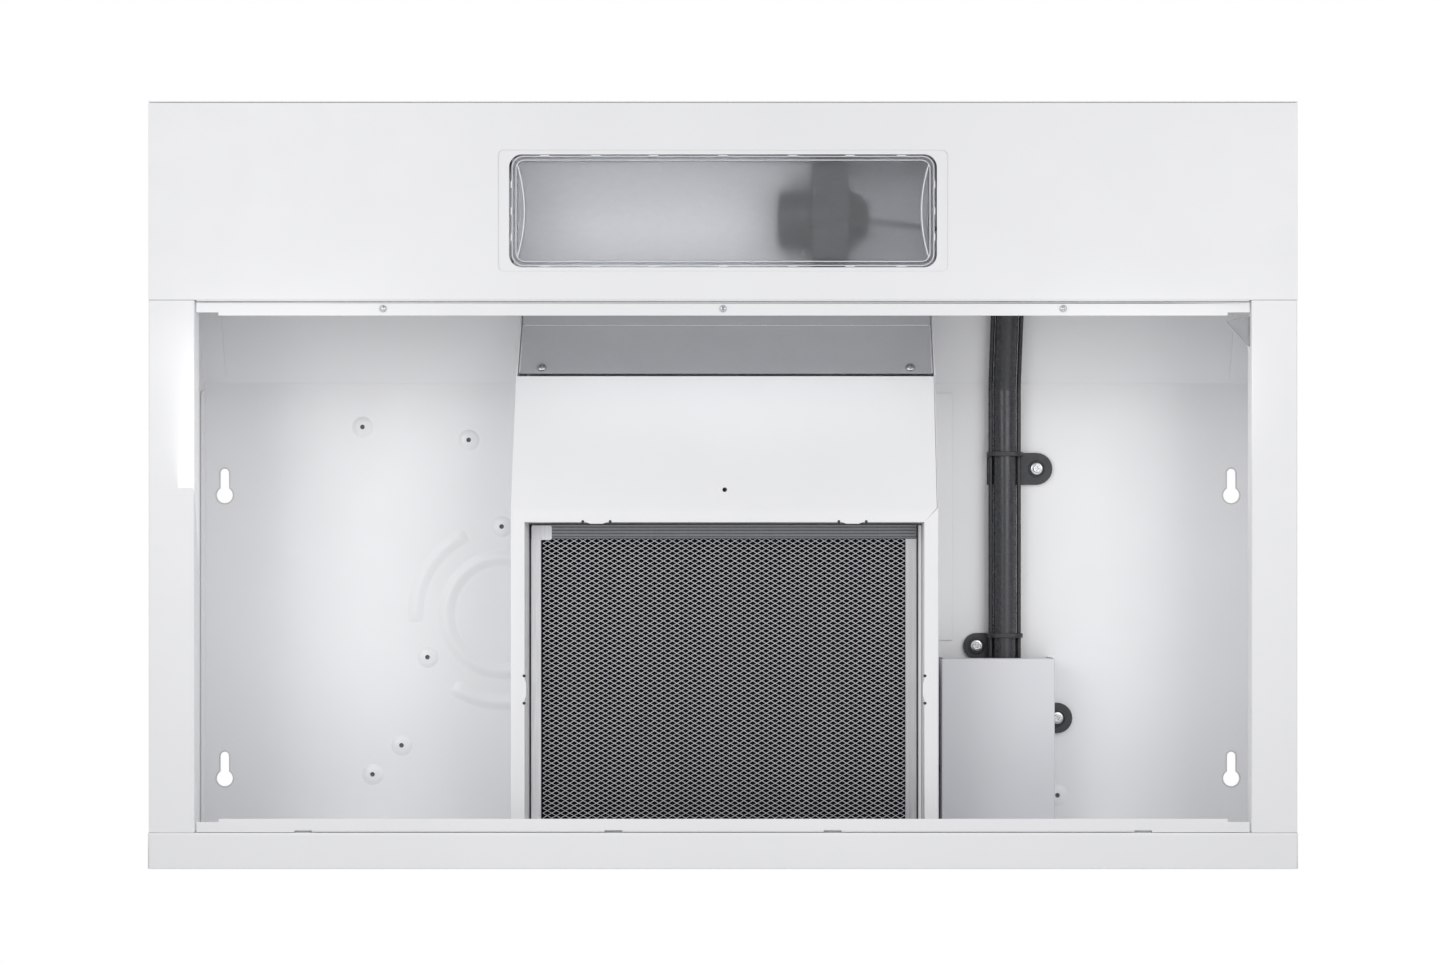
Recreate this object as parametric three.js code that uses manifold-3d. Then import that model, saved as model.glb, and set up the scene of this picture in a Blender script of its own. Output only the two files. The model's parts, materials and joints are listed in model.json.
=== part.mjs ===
// Under cabinet range hood, 30 inches wide, non-ducted: it draws air up through
// a mesh filter with a small axial fan and blows it out through the front slope.
//
// Millimetres. X is to the right, Y is to the back (the front faces -Y), Z is up.
// The origin is the centre of the flat top, which is screwed up to the cabinet.

import * as THREE from 'three';
import { mergeVertices } from 'three/addons/utils/BufferGeometryUtils.js';
import Module from 'manifold-3d';

const wasm = await Module();
wasm.setup();

// ---------------------------------------------------------------- dimensions

const SHEET = 0.8;               // sheet metal thickness
const GAP = 0.3;                 // clearance between pieces that touch

const HALF_WIDTH = 380;
const BACK = 167;
const FOLD = -167;               // the flat top turns down into the slope here
const FRONT = -341;
const BOTTOM = -140;
const FASCIA_TOP = -64;
const SLOPE = Math.atan2(-FASCIA_TOP, FOLD - FRONT);

const PAN_REAR = -209.5;         // rear edge of the front bottom pan
const BACK_FLANGE_FRONT = 143;   // front edge of the back bottom flange
const SIDE_FLANGE_INNER = 349.5; // inner edge of the side bottom flanges
const LIP = 12;                  // height of the stiffening lips
const TAB_WIDTH = 16;            // side panel tab under the slope

const KEYHOLE_X = 364.5;
const KEYHOLE_YS = [-86.2, 118.8];
const KEYHOLE_RADIUS = 6.25;
const KEYHOLE_SLOT = 7;
const KEYHOLE_REACH = 19.7;      // circle centre to the slot's end

const EMBOSS = { x: -162.7, y: 0, inner: 36.3, outer: 46.2, arcInner: 59.5, arcOuter: 68 };
const EMBOSS_DEPTH = 1;
const DIMPLES = [                // x, y, hole radius
  [-264.6, -135.6, 1.5], [-187.7, -126.2, 1.5], [-163.8, -63.5, 1.5], [-217.5, 31.1, 1.5],
  [-107.8, 31.4, 1.5], [-236.3, 94.9, 2], [-257.3, 115.9, 1.5], [238.5, 131.1, 1.5],
];
const DIMPLE_RADIUS = 7.3;

const LOUVRE_COUNT = 24;
const LOUVRE_PITCH = 10.4;
const LOUVRE = { width: 5, length: 44, y: -236 };

const RAIL = { end: 348.5, step: 334, frontNear: -208.4, frontFar: -199.3, rearNear: 133.8,
  rearFar: 142.7, z: -138.4, lip: 10, notch: 2.1 };
const RAIL_SCREW_XS = { left: -225, centre: 0, right: 225 };
const RAIL_SCREW_Y = -203.8;
const RAIL_SLOT_XS = [-278, -72.5, 72.5, 278];

const HOUSING = { half: 145.5, bottom: -100, front: -73.3, slantFront: -166, slantTop: -68,
  back: 165.4, openHalf: 135.8, openFront: -63.7, openBack: 161 };
const CEILING_TAB = { reach: 17, front: -160, back: 18.8 };
const DUCT = { half: 144.2, foot: [-168, -62], knee: [-205, -40], screwX: 128.5, screwUp: 4,
  cheekYs: [-172, -262], cheekFront: -264, skirt: 2.2 };
const DECK_TOP = -58;
const ORIFICE_RADIUS = 78;
const FAN = { x: 0, y: 48, radius: 74, hub: 15, z: -53, blades: 5, pitch: 0.42 };

const FILTER = { x: -1, width: 266.7, depth: 222, front: -63, bottom: -74, height: 9.5,
  side: 8, end: 10 };

const LENS = { half: 137.8, front: -302.9, back: -234.1, radius: 6, bottom: -139.6, height: 11 };
const WINDOW = { half: 141.5, front: -305.8, back: -231.1, radius: 8.6 };
const BEZEL = { half: 149, front: -308.4, back: -228.1, radius: 4, rise: 0.6 };
const SOCKET = { open: 35.6, shoulder: 59, end: 97.4, y: -267.5, z: -108 };
const REFLECTOR = { half: 144.4, front: -307.6, back: -228.9, top: -80 };
const BRACKET_XS = [59.6, 83.3];
const STRAP = { z: -134, wall: -127.5, foot: -112, saddle: 7.6 };

const SWITCH = { z: -96, width: 17, height: 30, capWidth: 10, capHeight: 21 };
const SWITCH_XS = { light: 287.3, fan: 312 };

const WIRING_BOX = { left: 152, right: 231.6, front: 30.8, back: 165.4, bottom: -42 };
const HARNESS = { x: 199.4, sleeve: 8.2, lead: 1.6, z: -10.8 };
const CLAMP = { wall: 1, tab: 3, tie: 3.2 };
const CLAMPS = [                 // screw's place, side of the tab and width of the band
  { x: 223.2, y: -105.2, side: 1, width: 23 },
  { x: 179.7, y: 22.9, side: -1, width: 18.8 },
  { x: 238.1, y: 75, side: 1, width: 22 },
];
const KNOCKOUT = { x: 205, y: 122, rearX: 178, rearZ: -21, radius: 11 };

// ----------------------------------------------------------------- materials

const paint = (name, color, roughness, metalness = 0) => {
  const material = new THREE.MeshStandardMaterial({ color, roughness, metalness });
  material.name = name;
  return material;
};
const WHITE = paint('white_enamel', 0xe8e9ec, 0.38);
const GALVANISED = paint('galvanised_steel', 0x9da0a5, 0.45, 0.9);
const STEEL = paint('zinc_screw', 0xb9bcc0, 0.35, 1);
const ALUMINIUM = paint('aluminium', 0xb4b7bb, 0.4, 1);
const MEDIA = paint('filter_pad', 0x2b2c2e, 0.95);
const BLACK = paint('black_plastic', 0x2e3033, 0.5);
const BOX_GREY = paint('box_enamel', 0xc4c5c9, 0.42);
const LENS_PLASTIC = paint('frosted_lens', 0xb9bcc2, 0.45);
const IRON = paint('motor_iron', 0x55585c, 0.5, 0.9);
const WHITE_PLASTIC = paint('white_plastic', 0xe2e3e6, 0.35);

// ------------------------------------------------------------ shape helpers

function solid(geometry) {
  const bare = geometry.clone();
  bare.deleteAttribute('normal');
  bare.deleteAttribute('uv');
  const welded = mergeVertices(bare, 1e-4);
  return new wasm.Manifold(new wasm.Mesh({
    numProp: 3,
    vertProperties: new Float32Array(welded.attributes.position.array),
    triVerts: new Uint32Array(welded.index.array),
  }));
}

const join = (...solids) => solids.reduce((a, b) => a.add(b));
const cut = (body, ...tools) => tools.reduce((a, b) => a.subtract(b), body);

function box(x0, x1, y0, y1, z0, z1) {
  const geometry = new THREE.BoxGeometry(x1 - x0, y1 - y0, z1 - z0);
  return solid(geometry.translate((x0 + x1) / 2, (y0 + y1) / 2, (z0 + z1) / 2));
}

const AXES = {
  x: new THREE.Matrix4().makeBasis(vec(0, 1, 0), vec(0, 0, 1), vec(1, 0, 0)),
  y: new THREE.Matrix4().makeBasis(vec(1, 0, 0), vec(0, 0, 1), vec(0, -1, 0)),
  z: new THREE.Matrix4(),
};

function vec(x, y, z) {
  return new THREE.Vector3(x, y, z);
}

// Extrudes a shape along an axis from one coordinate to another. The shape's own
// axes are (Y, Z) along x, (X, Z) along y and (X, Y) along z.
function extrude(shape, axis, from, to, curveSegments = 6) {
  const outline = Array.isArray(shape) ? new THREE.Shape(shape.map(([a, b]) => new THREE.Vector2(a, b)))
    : shape;
  const options = { depth: to - from, bevelEnabled: false, curveSegments };
  const geometry = new THREE.ExtrudeGeometry(outline, options);
  geometry.translate(0, 0, axis === 'y' ? -to : from);
  return solid(geometry.applyMatrix4(AXES[axis]));
}

// A round bar or tube along an axis, centred on the other two coordinates.
function bar(radius, axis, from, to, a, b, sides = 24) {
  const circle = new THREE.Shape().absarc(a, b, radius, 0, Math.PI * 2);
  return extrude(circle, axis, from, to, sides / 2);
}

// The closed outline of a bent sheet: a polyline given a thickness on its left.
function ribbon(points, thickness = SHEET) {
  const offset = points.map((point, i) => {
    const before = points[Math.max(i - 1, 0)];
    const after = points[Math.min(i + 1, points.length - 1)];
    const inward = i === 0 ? leftOf(point, after) : leftOf(before, point);
    const outward = i === points.length - 1 ? inward : leftOf(point, after);
    const scale = thickness / (1 + inward[0] * outward[0] + inward[1] * outward[1]);
    return [point[0] + (inward[0] + outward[0]) * scale, point[1] + (inward[1] + outward[1]) * scale];
  });
  return [...points, ...offset.reverse()];
}

function leftOf([ax, ay], [bx, by]) {
  const length = Math.hypot(bx - ax, by - ay);
  return [-(by - ay) / length, (bx - ax) / length];
}

function roundedRectangle(x0, x1, y0, y1, radius) {
  const shape = new THREE.Shape();
  shape.absarc(x1 - radius, y0 + radius, radius, -Math.PI / 2, 0);
  shape.absarc(x1 - radius, y1 - radius, radius, 0, Math.PI / 2);
  shape.absarc(x0 + radius, y1 - radius, radius, Math.PI / 2, Math.PI);
  shape.absarc(x0 + radius, y0 + radius, radius, Math.PI, Math.PI * 1.5);
  return shape;
}

// A tube or wire along a smooth curve through the given points.
function cable(points, radius, steps, sides = 10) {
  const circle = new THREE.Shape().absarc(0, 0, radius, 0, Math.PI * 2);
  const extrudePath = new THREE.CatmullRomCurve3(points.map(([x, y, z]) => vec(x, y, z)), false,
    'centripetal');
  return solid(new THREE.ExtrudeGeometry(circle, { steps, extrudePath, curveSegments: sides / 2,
    bevelEnabled: false }));
}

// A point of the hood's outer slope, moved inward by a depth square to it.
function underSlope(y, depth) {
  const z = (y - FOLD) * Math.tan(SLOPE);
  return [y + depth * Math.sin(SLOPE), z - depth * Math.cos(SLOPE)];
}

const hood = new THREE.Group();

function add(name, manifold, material, parent = hood) {
  const { vertProperties, triVerts } = manifold.getMesh();
  const geometry = new THREE.BufferGeometry();
  geometry.setAttribute('position', new THREE.BufferAttribute(vertProperties, 3));
  geometry.setIndex(new THREE.BufferAttribute(triVerts, 1));
  geometry.computeVertexNormals();
  const mesh = new THREE.Mesh(geometry, material);
  mesh.name = name;
  parent.add(mesh);
  return mesh;
}

// A pan head screw pointing up, head below: its own origin is under the head.
function screw(headRadius, headHeight, shankRadius, shankLength) {
  const head = bar(headRadius, 'z', -headHeight, 0, 0, 0, 14);
  const drive = join(box(-headRadius * 0.55, headRadius * 0.55, -0.4, 0.4, -headHeight, -headHeight * 0.45),
    box(-0.4, 0.4, -headRadius * 0.55, headRadius * 0.55, -headHeight, -headHeight * 0.45));
  return cut(join(head, bar(shankRadius, 'z', -0.1, shankLength, 0, 0, 8)), drive);
}

// --------------------------------------------------------------- outer shell

function keyholeCutter(x, y) {
  const half = KEYHOLE_SLOT / 2;
  const slot = box(x - half, x + half, y - KEYHOLE_REACH + half, y, -SHEET - 1, 1);
  return join(bar(KEYHOLE_RADIUS, 'z', -SHEET - 1, 1, x, y), slot,
    bar(half, 'z', -SHEET - 1, 1, x, y - KEYHOLE_REACH + half, 16));
}

// A stretch of bead pressed down from the ceiling, between two radii and two angles.
function bead(inner, outer, from, to) {
  const shape = new THREE.Shape().absarc(EMBOSS.x, EMBOSS.y, outer, from, to);
  shape.absarc(EMBOSS.x, EMBOSS.y, inner, to, from, true);
  return extrude(shape, 'z', -SHEET - EMBOSS_DEPTH, -SHEET / 2, 10);
}

function embossedRing() {
  const span = 34 * Math.PI / 180;
  const arcs = [30, 150, 270].map((degrees) => {
    const middle = -degrees * Math.PI / 180;
    return bead(EMBOSS.arcInner, EMBOSS.arcOuter, middle - span, middle + span);
  });
  const ring = cut(
    bar(EMBOSS.outer, 'z', -SHEET - EMBOSS_DEPTH, -SHEET / 2, EMBOSS.x, EMBOSS.y, 40),
    bar(EMBOSS.inner, 'z', -SHEET - EMBOSS_DEPTH - 1, 0, EMBOSS.x, EMBOSS.y, 40),
  );
  return join(ring, ...arcs);
}

function louvreCutter(index) {
  const x = (index - (LOUVRE_COUNT - 1) / 2) * LOUVRE_PITCH;
  const half = LOUVRE.length / 2 * Math.cos(SLOPE);
  const [y, z] = [LOUVRE.y, (LOUVRE.y - FOLD) * Math.tan(SLOPE)];
  return box(x - LOUVRE.width / 2, x + LOUVRE.width / 2, y - half, y + half, z - 14, z + 14);
}

function topPanel() {
  const outline = ribbon([[BACK, 0], [FOLD, 0], [FRONT, FASCIA_TOP]]);
  const inside = HALF_WIDTH - SHEET - GAP;
  const flanges = [-inside, inside - SHEET].map((x) =>
    box(x, x + SHEET, FOLD + 6, BACK - 6, -LIP, -SHEET / 2));
  const dimples = DIMPLES.map(([x, y]) =>
    bar(DIMPLE_RADIUS - 1, 'z', -SHEET - EMBOSS_DEPTH, -SHEET / 2, x, y, 16));
  const holes = DIMPLES.map(([x, y, radius]) => bar(radius, 'z', -4, 1, x, y, 8));
  const keyholes = [-KEYHOLE_X, KEYHOLE_X].flatMap((x) => KEYHOLE_YS.map((y) => keyholeCutter(x, y)));
  const louvres = Array.from({ length: LOUVRE_COUNT }, (_, i) => louvreCutter(i));
  const clampHoles = CLAMPS.map(({ x, y }) => bar(2.3, 'z', -4, 1, x, y, 10));
  const knockout = bar(KNOCKOUT.radius + GAP, 'z', -4, 1, KNOCKOUT.x, KNOCKOUT.y, 20);
  const body = join(extrude(outline, 'x', -HALF_WIDTH, HALF_WIDTH), ...flanges, embossedRing(), ...dimples);
  return cut(body, ...holes, ...keyholes, ...louvres, ...clampHoles, knockout);
}

function sidePanel(side) {
  const place = (x0, x1, ...rest) => box(...(side > 0 ? [x0, x1] : [-x1, -x0]), ...rest);
  const front = FRONT + SHEET + GAP;
  const top = -SHEET - GAP;
  const [foldY, foldZ] = underSlope(FOLD, SHEET + GAP);
  const [frontY, frontZ] = underSlope(front + 0.5, SHEET + GAP);
  const wallBottom = BOTTOM + SHEET + GAP;
  const outline = [[BACK - SHEET - GAP, BOTTOM + SHEET + GAP], [BACK - SHEET - GAP, top], [foldY, top],
    [foldY - 0.2, foldZ - 0.1], [frontY, frontZ], [front, frontZ - 1], [front, wallBottom]];
  const x = [HALF_WIDTH - SHEET, HALF_WIDTH];
  const wall = side > 0 ? extrude(outline, 'x', x[0], x[1]) : extrude(outline, 'x', -x[1], -x[0]);
  const flange = join(
    place(SIDE_FLANGE_INNER, HALF_WIDTH, PAN_REAR + GAP, BACK_FLANGE_FRONT - GAP, BOTTOM, BOTTOM + SHEET),
    place(HALF_WIDTH - SHEET, HALF_WIDTH, PAN_REAR + GAP, BACK_FLANGE_FRONT - GAP, BOTTOM, wallBottom + 1),
    place(SIDE_FLANGE_INNER, SIDE_FLANGE_INNER + SHEET, PAN_REAR + GAP, BACK_FLANGE_FRONT - GAP,
      BOTTOM, BOTTOM + LIP),
  );
  const tabOutline = ribbon([underSlope(FOLD - 4, SHEET + GAP), underSlope(front + 6, SHEET + GAP)]);
  const tabX = [HALF_WIDTH - TAB_WIDTH - 1, HALF_WIDTH - SHEET / 2];
  const tab = side > 0 ? extrude(tabOutline, 'x', tabX[0], tabX[1])
    : extrude(tabOutline, 'x', -tabX[1], -tabX[0]);
  return join(wall, flange, tab);
}

function backPanel() {
  const top = -SHEET - GAP;
  const outline = ribbon([[BACK, top], [BACK, BOTTOM], [BACK_FLANGE_FRONT, BOTTOM],
    [BACK_FLANGE_FRONT, BOTTOM + LIP]].reverse());
  const knockout = bar(KNOCKOUT.radius + GAP, 'y', BACK - 4, BACK + 2, KNOCKOUT.rearX, KNOCKOUT.rearZ, 20);
  const inside = HALF_WIDTH - SHEET - GAP;
  const lipEnds = [[-HALF_WIDTH - 1, -inside], [inside, HALF_WIDTH + 1]].map(([x0, x1]) =>
    box(x0, x1, BACK_FLANGE_FRONT - 1, BACK_FLANGE_FRONT + SHEET + 1, BOTTOM + SHEET, BOTTOM + LIP + 1));
  return cut(extrude(outline, 'x', -HALF_WIDTH, HALF_WIDTH), knockout, ...lipEnds);
}

function frontFascia() {
  const top = FASCIA_TOP - SHEET - GAP - 0.2;
  const sheet = box(-HALF_WIDTH, HALF_WIDTH, FRONT, FRONT + SHEET, BOTTOM, top);
  const cutouts = Object.values(SWITCH_XS).map((x) =>
    box(x - SWITCH.width / 2 + 1.5, x + SWITCH.width / 2 - 1.5, FRONT - 1, FRONT + SHEET + 1,
      SWITCH.z - SWITCH.height / 2 + 1.5, SWITCH.z + SWITCH.height / 2 - 1.5));
  return cut(sheet, ...cutouts);
}

function lightPan() {
  const front = FRONT + SHEET + GAP;
  const outline = ribbon([[PAN_REAR, BOTTOM + LIP], [PAN_REAR, BOTTOM], [front, BOTTOM]].reverse());
  const lip = box(-HALF_WIDTH + 8, HALF_WIDTH - 8, front, front + SHEET, BOTTOM, BOTTOM + LIP);
  const plate = join(extrude(outline, 'x', -HALF_WIDTH + 1.5, HALF_WIDTH - 1.5),
    box(-HALF_WIDTH, HALF_WIDTH, front, PAN_REAR, BOTTOM, BOTTOM + SHEET), lip);
  const rim = (spec, grow) => roundedRectangle(-spec.half - grow, spec.half + grow,
    spec.front - grow, spec.back + grow, spec.radius + grow);
  const recess = extrude(rim(BEZEL, 0), 'z', BOTTOM - 1, BOTTOM + SHEET + 1, 5);
  const ledge = extrude(rim(BEZEL, SHEET), 'z', BOTTOM + BEZEL.rise, BOTTOM + BEZEL.rise + SHEET, 5);
  const window = extrude(rim(WINDOW, 0), 'z', BOTTOM - 1, BOTTOM + 4, 6);
  return cut(join(cut(plate, recess), ledge), window);
}

function rail(near, far, inner) {
  const top = RAIL.z + RAIL.lip;
  const outer = inner === near ? far : near;
  const flange = box(-RAIL.end, RAIL.end, near, far, RAIL.z, RAIL.z + SHEET);
  const web = outer < inner ? box(-RAIL.end, RAIL.end, near, near + SHEET, RAIL.z, top)
    : box(-RAIL.end, RAIL.end, far - SHEET, far, RAIL.z, top);
  const steps = [[-RAIL.end - 1, -RAIL.step], [RAIL.step, RAIL.end + 1]].map(([x0, x1]) =>
    box(x0, x1, inner === far ? far - RAIL.notch : near - 1, inner === far ? far + 1 : near + RAIL.notch,
      RAIL.z - 1, RAIL.z + SHEET + 1));
  return cut(join(flange, web), ...steps);
}

function frontRail() {
  const holes = Object.values(RAIL_SCREW_XS).map((x) =>
    bar(1.5, 'z', RAIL.z - 1, RAIL.z + SHEET + 1, x, RAIL_SCREW_Y, 10));
  return cut(rail(RAIL.frontNear, RAIL.frontFar, RAIL.frontFar), ...holes);
}

function rearRail() {
  const slots = RAIL_SLOT_XS.map((x) =>
    box(x - 5.85, x + 5.85, RAIL.rearFar - 1.4, RAIL.rearFar + 1, RAIL.z - 1, RAIL.z + RAIL.lip - 6));
  return cut(rail(RAIL.rearNear, RAIL.rearFar, RAIL.rearNear), ...slots);
}

add('top_panel', topPanel(), WHITE);
add('left_side_panel', sidePanel(-1), WHITE);
add('right_side_panel', sidePanel(1), WHITE);
add('back_panel', backPanel(), WHITE);
add('front_fascia', frontFascia(), WHITE);
add('light_pan', lightPan(), WHITE);
add('front_rail', frontRail(), WHITE);
add('rear_rail', rearRail(), WHITE);

for (const [name, x] of Object.entries(RAIL_SCREW_XS)) {
  const mesh = add(`rail_screw_${name}`, screw(2.3, 1.3, 1.2, 7), STEEL);
  mesh.position.set(x, RAIL_SCREW_Y, RAIL.z - GAP);
}

const gusset = extrude([[333.8, RAIL.frontFar + 3.5], [345, RAIL.frontFar + 0.4], [349, RAIL.frontFar + 0.4],
  [349, -179]], 'z', RAIL.z + 3, RAIL.z + 4);
add('corner_gusset', gusset, GALVANISED);

add('top_knockout', bar(KNOCKOUT.radius, 'z', -SHEET, 0, KNOCKOUT.x, KNOCKOUT.y, 20), WHITE);
add('rear_knockout', bar(KNOCKOUT.radius, 'y', BACK - SHEET, BACK, KNOCKOUT.rearX, KNOCKOUT.rearZ, 20),
  WHITE);

// ------------------------------------------------------ filter and fan housing

const RETAINERS = [
  { x: -87, y: HOUSING.openFront, along: 'x' }, { x: 87, y: HOUSING.openFront, along: 'x' },
  { x: -HOUSING.openHalf, y: 50, along: 'y' }, { x: HOUSING.openHalf, y: 50, along: 'y' },
];
const RETAINER = { length: 16.6, bulge: 1.1, slit: 1 };

// A small bump lanced out of the opening's edge, with a slit at each of its ends.
function retainers(body) {
  const z0 = HOUSING.bottom;
  const z1 = HOUSING.bottom + SHEET;
  const half = RETAINER.length / 2;
  let result = body;
  for (const { x, y, along } of RETAINERS) {
    const inward = along === 'x' ? 1 : -Math.sign(x);
    const at = (a, b) => (along === 'x' ? [x + a, y + b * inward] : [x + b * inward, y + a]);
    const bump = extrude([at(-half, -0.5), at(half, -0.5), at(half * 0.5, RETAINER.bulge),
      at(-half * 0.5, RETAINER.bulge)], 'z', z0, z1);
    const slits = [-half - 1, half + 1].map((a) => {
      const [sx, sy] = at(a, -0.5);
      return bar(RETAINER.slit, 'z', z0 - 1, z1 + 1, sx, sy, 8);
    });
    result = cut(join(result, bump), ...slits);
  }
  return result;
}

function blowerHousing() {
  const { half, bottom, front, slantFront, slantTop, back, openHalf, openFront, openBack } = HOUSING;
  const floorOutline = ribbon([[slantFront, slantTop], [front, bottom], [back, bottom]]);
  const floor = cut(extrude(floorOutline, 'x', -half, half),
    box(-openHalf, openHalf, openFront, openBack, bottom - 1, bottom + 2));
  const [footY, footZ] = DUCT.foot;
  const [kneeY, kneeZ] = DUCT.knee;
  const wallOutline = (top) => [[back, bottom], [back, top], [FOLD + 2, top],
    ...DUCT.cheekYs.map((y) => underSlope(y, -top)), [DUCT.cheekFront, kneeZ - DUCT.skirt],
    [kneeY, kneeZ - DUCT.skirt], [footY, footZ - DUCT.skirt], [slantFront, slantTop], [front, bottom]];
  const walls = join(extrude(wallOutline(-SHEET - EMBOSS_DEPTH - GAP), 'x', -half, -half + SHEET),
    extrude(wallOutline(-SHEET - GAP), 'x', half - SHEET, half));
  const tab = box(half - SHEET, half + CEILING_TAB.reach, CEILING_TAB.front, CEILING_TAB.back,
    -2 * SHEET - GAP, -SHEET - GAP);
  const hole = bar(1.6, 'z', bottom - 2, slantTop + 2, 0, -86, 10);
  const leadHole = bar(3.4, 'x', half - 3, half + 2, 110, -14, 12);
  return cut(retainers(join(floor, walls, tab)), hole, leadHole);
}

function filterThroat() {
  const { bottom, openHalf, openFront, openBack } = HOUSING;
  const z0 = bottom + SHEET + GAP;
  const z1 = DECK_TOP - SHEET - GAP;
  return cut(box(-openHalf - SHEET, openHalf + SHEET, openFront - SHEET, openBack + SHEET, z0, z1),
    box(-openHalf, openHalf, openFront, openBack, z0 - 1, z1 + 1));
}

function fanDeck() {
  const inside = HOUSING.half - SHEET - GAP;
  const plate = box(-inside, inside, HOUSING.openFront - SHEET, HOUSING.back, DECK_TOP - SHEET, DECK_TOP);
  const collar = bar(ORIFICE_RADIUS + SHEET, 'z', DECK_TOP - SHEET, DECK_TOP + 10, FAN.x, FAN.y, 48);
  const orifice = bar(ORIFICE_RADIUS, 'z', DECK_TOP - 3, DECK_TOP + 12, FAN.x, FAN.y, 48);
  return cut(join(plate, collar), orifice);
}

// Galvanised floor of the air way between the fan housing and the slope.
function outletDuct() {
  const { half } = DUCT;
  const [footY, footZ] = underSlope(-270, SHEET + GAP);
  const [tipY, tipZ] = underSlope(-282, SHEET + GAP);
  const outline = ribbon([DUCT.foot, DUCT.knee, [footY, footZ - 1], [tipY, tipZ]].reverse(), -SHEET);
  const holes = [-DUCT.screwX, DUCT.screwX].map((x) => ontoDuct(bar(1.6, 'z', -4, 4, 0, 0, 10), x));
  return cut(extrude(outline, 'x', -half, half), ...holes);
}

// Moves a solid made on the Z axis onto the slanted part of the duct floor.
function ontoDuct(shape, x) {
  const [footY, footZ] = DUCT.foot;
  const tilt = Math.atan2(DUCT.knee[1] - footZ, footY - DUCT.knee[0]);
  const z = footZ + DUCT.screwUp * Math.tan(tilt);
  return shape.rotate([THREE.MathUtils.radToDeg(-tilt), 0, 0]).translate([x, footY - DUCT.screwUp, z]);
}

add('blower_housing', blowerHousing(), WHITE);
add('filter_throat', filterThroat(), WHITE);
add('fan_deck', fanDeck(), GALVANISED);
add('outlet_duct', outletDuct(), GALVANISED);
const outletScrew = screw(3.2, 1.8, 1.3, 6).translate([0, 0, -SHEET - GAP]);
add('outlet_screw_left', ontoDuct(outletScrew, -DUCT.screwX), STEEL);
add('outlet_screw_right', ontoDuct(outletScrew, DUCT.screwX), STEEL);

// ------------------------------------------------------------------- the fan

function motorBracket() {
  const foot = DECK_TOP + GAP;
  const outline = ribbon([[-112, foot], [-96, foot], [-84, -9], [84, -9], [96, foot], [112, foot]]);
  const strap = extrude(outline, 'y', FAN.y - 15, FAN.y + 15);
  return cut(strap, bar(9, 'z', -12, 0, FAN.x, FAN.y, 20));
}

function fanMotor() {
  const { x, y } = FAN;
  const core = box(x - 30, x + 30, y - 24, y + 24, -32, -16);
  const coil = box(x + 18, x + 42, y - 15, y + 15, -36, -12);
  const bearings = join(bar(8, 'z', -11, -9.6, x, y, 20), bar(12, 'z', -38, -10.6, x, y, 24));
  return cut(join(core, coil, bearings), bar(2.8, 'z', -40, -14, x, y, 16));
}

function fanBlade() {
  const paddle = new THREE.Shape();
  paddle.moveTo(FAN.hub - 4, -6);
  paddle.quadraticCurveTo(44, -30, FAN.radius - 2, -24);
  paddle.quadraticCurveTo(FAN.radius + 3, 2, FAN.radius - 8, 20);
  paddle.quadraticCurveTo(36, 18, FAN.hub - 4, 7);
  const blank = extrude(paddle, 'z', -0.6, 0.6, 5);
  const pitch = THREE.MathUtils.radToDeg(FAN.pitch);
  const blades = Array.from({ length: FAN.blades }, (_, i) =>
    blank.rotate([pitch, 0, 0]).rotate([0, 0, i * 360 / FAN.blades]));
  const hub = bar(FAN.hub, 'z', -5, 6, 0, 0, 24);
  return cut(join(hub, ...blades), bar(2.8, 'z', -9, 9, 0, 0, 16),
    cut(bar(FAN.radius + 20, 'z', -30, 30, 0, 0, 48), bar(FAN.radius, 'z', -31, 31, 0, 0, 48)));
}

const fan = new THREE.Group();
fan.position.set(FAN.x, FAN.y, FAN.z);
hood.add(fan);
add('fan_blade', fanBlade(), ALUMINIUM, fan);
add('motor_shaft', bar(2.5, 'z', -10.4, 36, 0, 0, 16), STEEL, fan);
add('blade_nut', cut(bar(5, 'z', -9.3, -5.3, 0, 0, 6), bar(2.8, 'z', -12, 0, 0, 0, 16)), STEEL, fan);
add('motor_bracket', motorBracket(), GALVANISED);
add('fan_motor', fanMotor(), IRON);

// --------------------------------------------------------------- mesh filter

const FILTER_GROOVE = 5;

function filterBox(shrinkSide, shrinkEnd, z0, z1) {
  const { x, width, depth, front } = FILTER;
  return box(x - width / 2 + shrinkSide, x + width / 2 - shrinkSide, front + shrinkEnd,
    front + depth - shrinkEnd, z0, z1);
}

function filterFrame() {
  const { side, end, bottom, height } = FILTER;
  const outer = filterBox(0, 0, bottom, bottom + height);
  const through = filterBox(side, end, bottom - 1, bottom + height + 1);
  const groove = filterBox(side - FILTER_GROOVE, end - FILTER_GROOVE, bottom + 1, bottom + height - 1);
  return cut(outer, through, groove);
}

function filterLayer(offset, thickness) {
  const { side, end, bottom } = FILTER;
  const inset = FILTER_GROOVE - GAP;
  return filterBox(side - inset, end - inset, bottom + 1 + offset, bottom + 1 + offset + thickness);
}

add('filter_frame', filterFrame(), ALUMINIUM);
add('filter_mesh_lower', filterLayer(GAP, 0.6), ALUMINIUM);
add('filter_pad', filterLayer(GAP + 0.9, 5), MEDIA);
add('filter_mesh_upper', filterLayer(GAP + 6.2, 0.6), ALUMINIUM);

// ---------------------------------------------------------------- work light

function rimmed(spec, shrink) {
  return roundedRectangle(-spec.half + shrink, spec.half - shrink, spec.front + shrink,
    spec.back - shrink, spec.radius - shrink);
}

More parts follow.
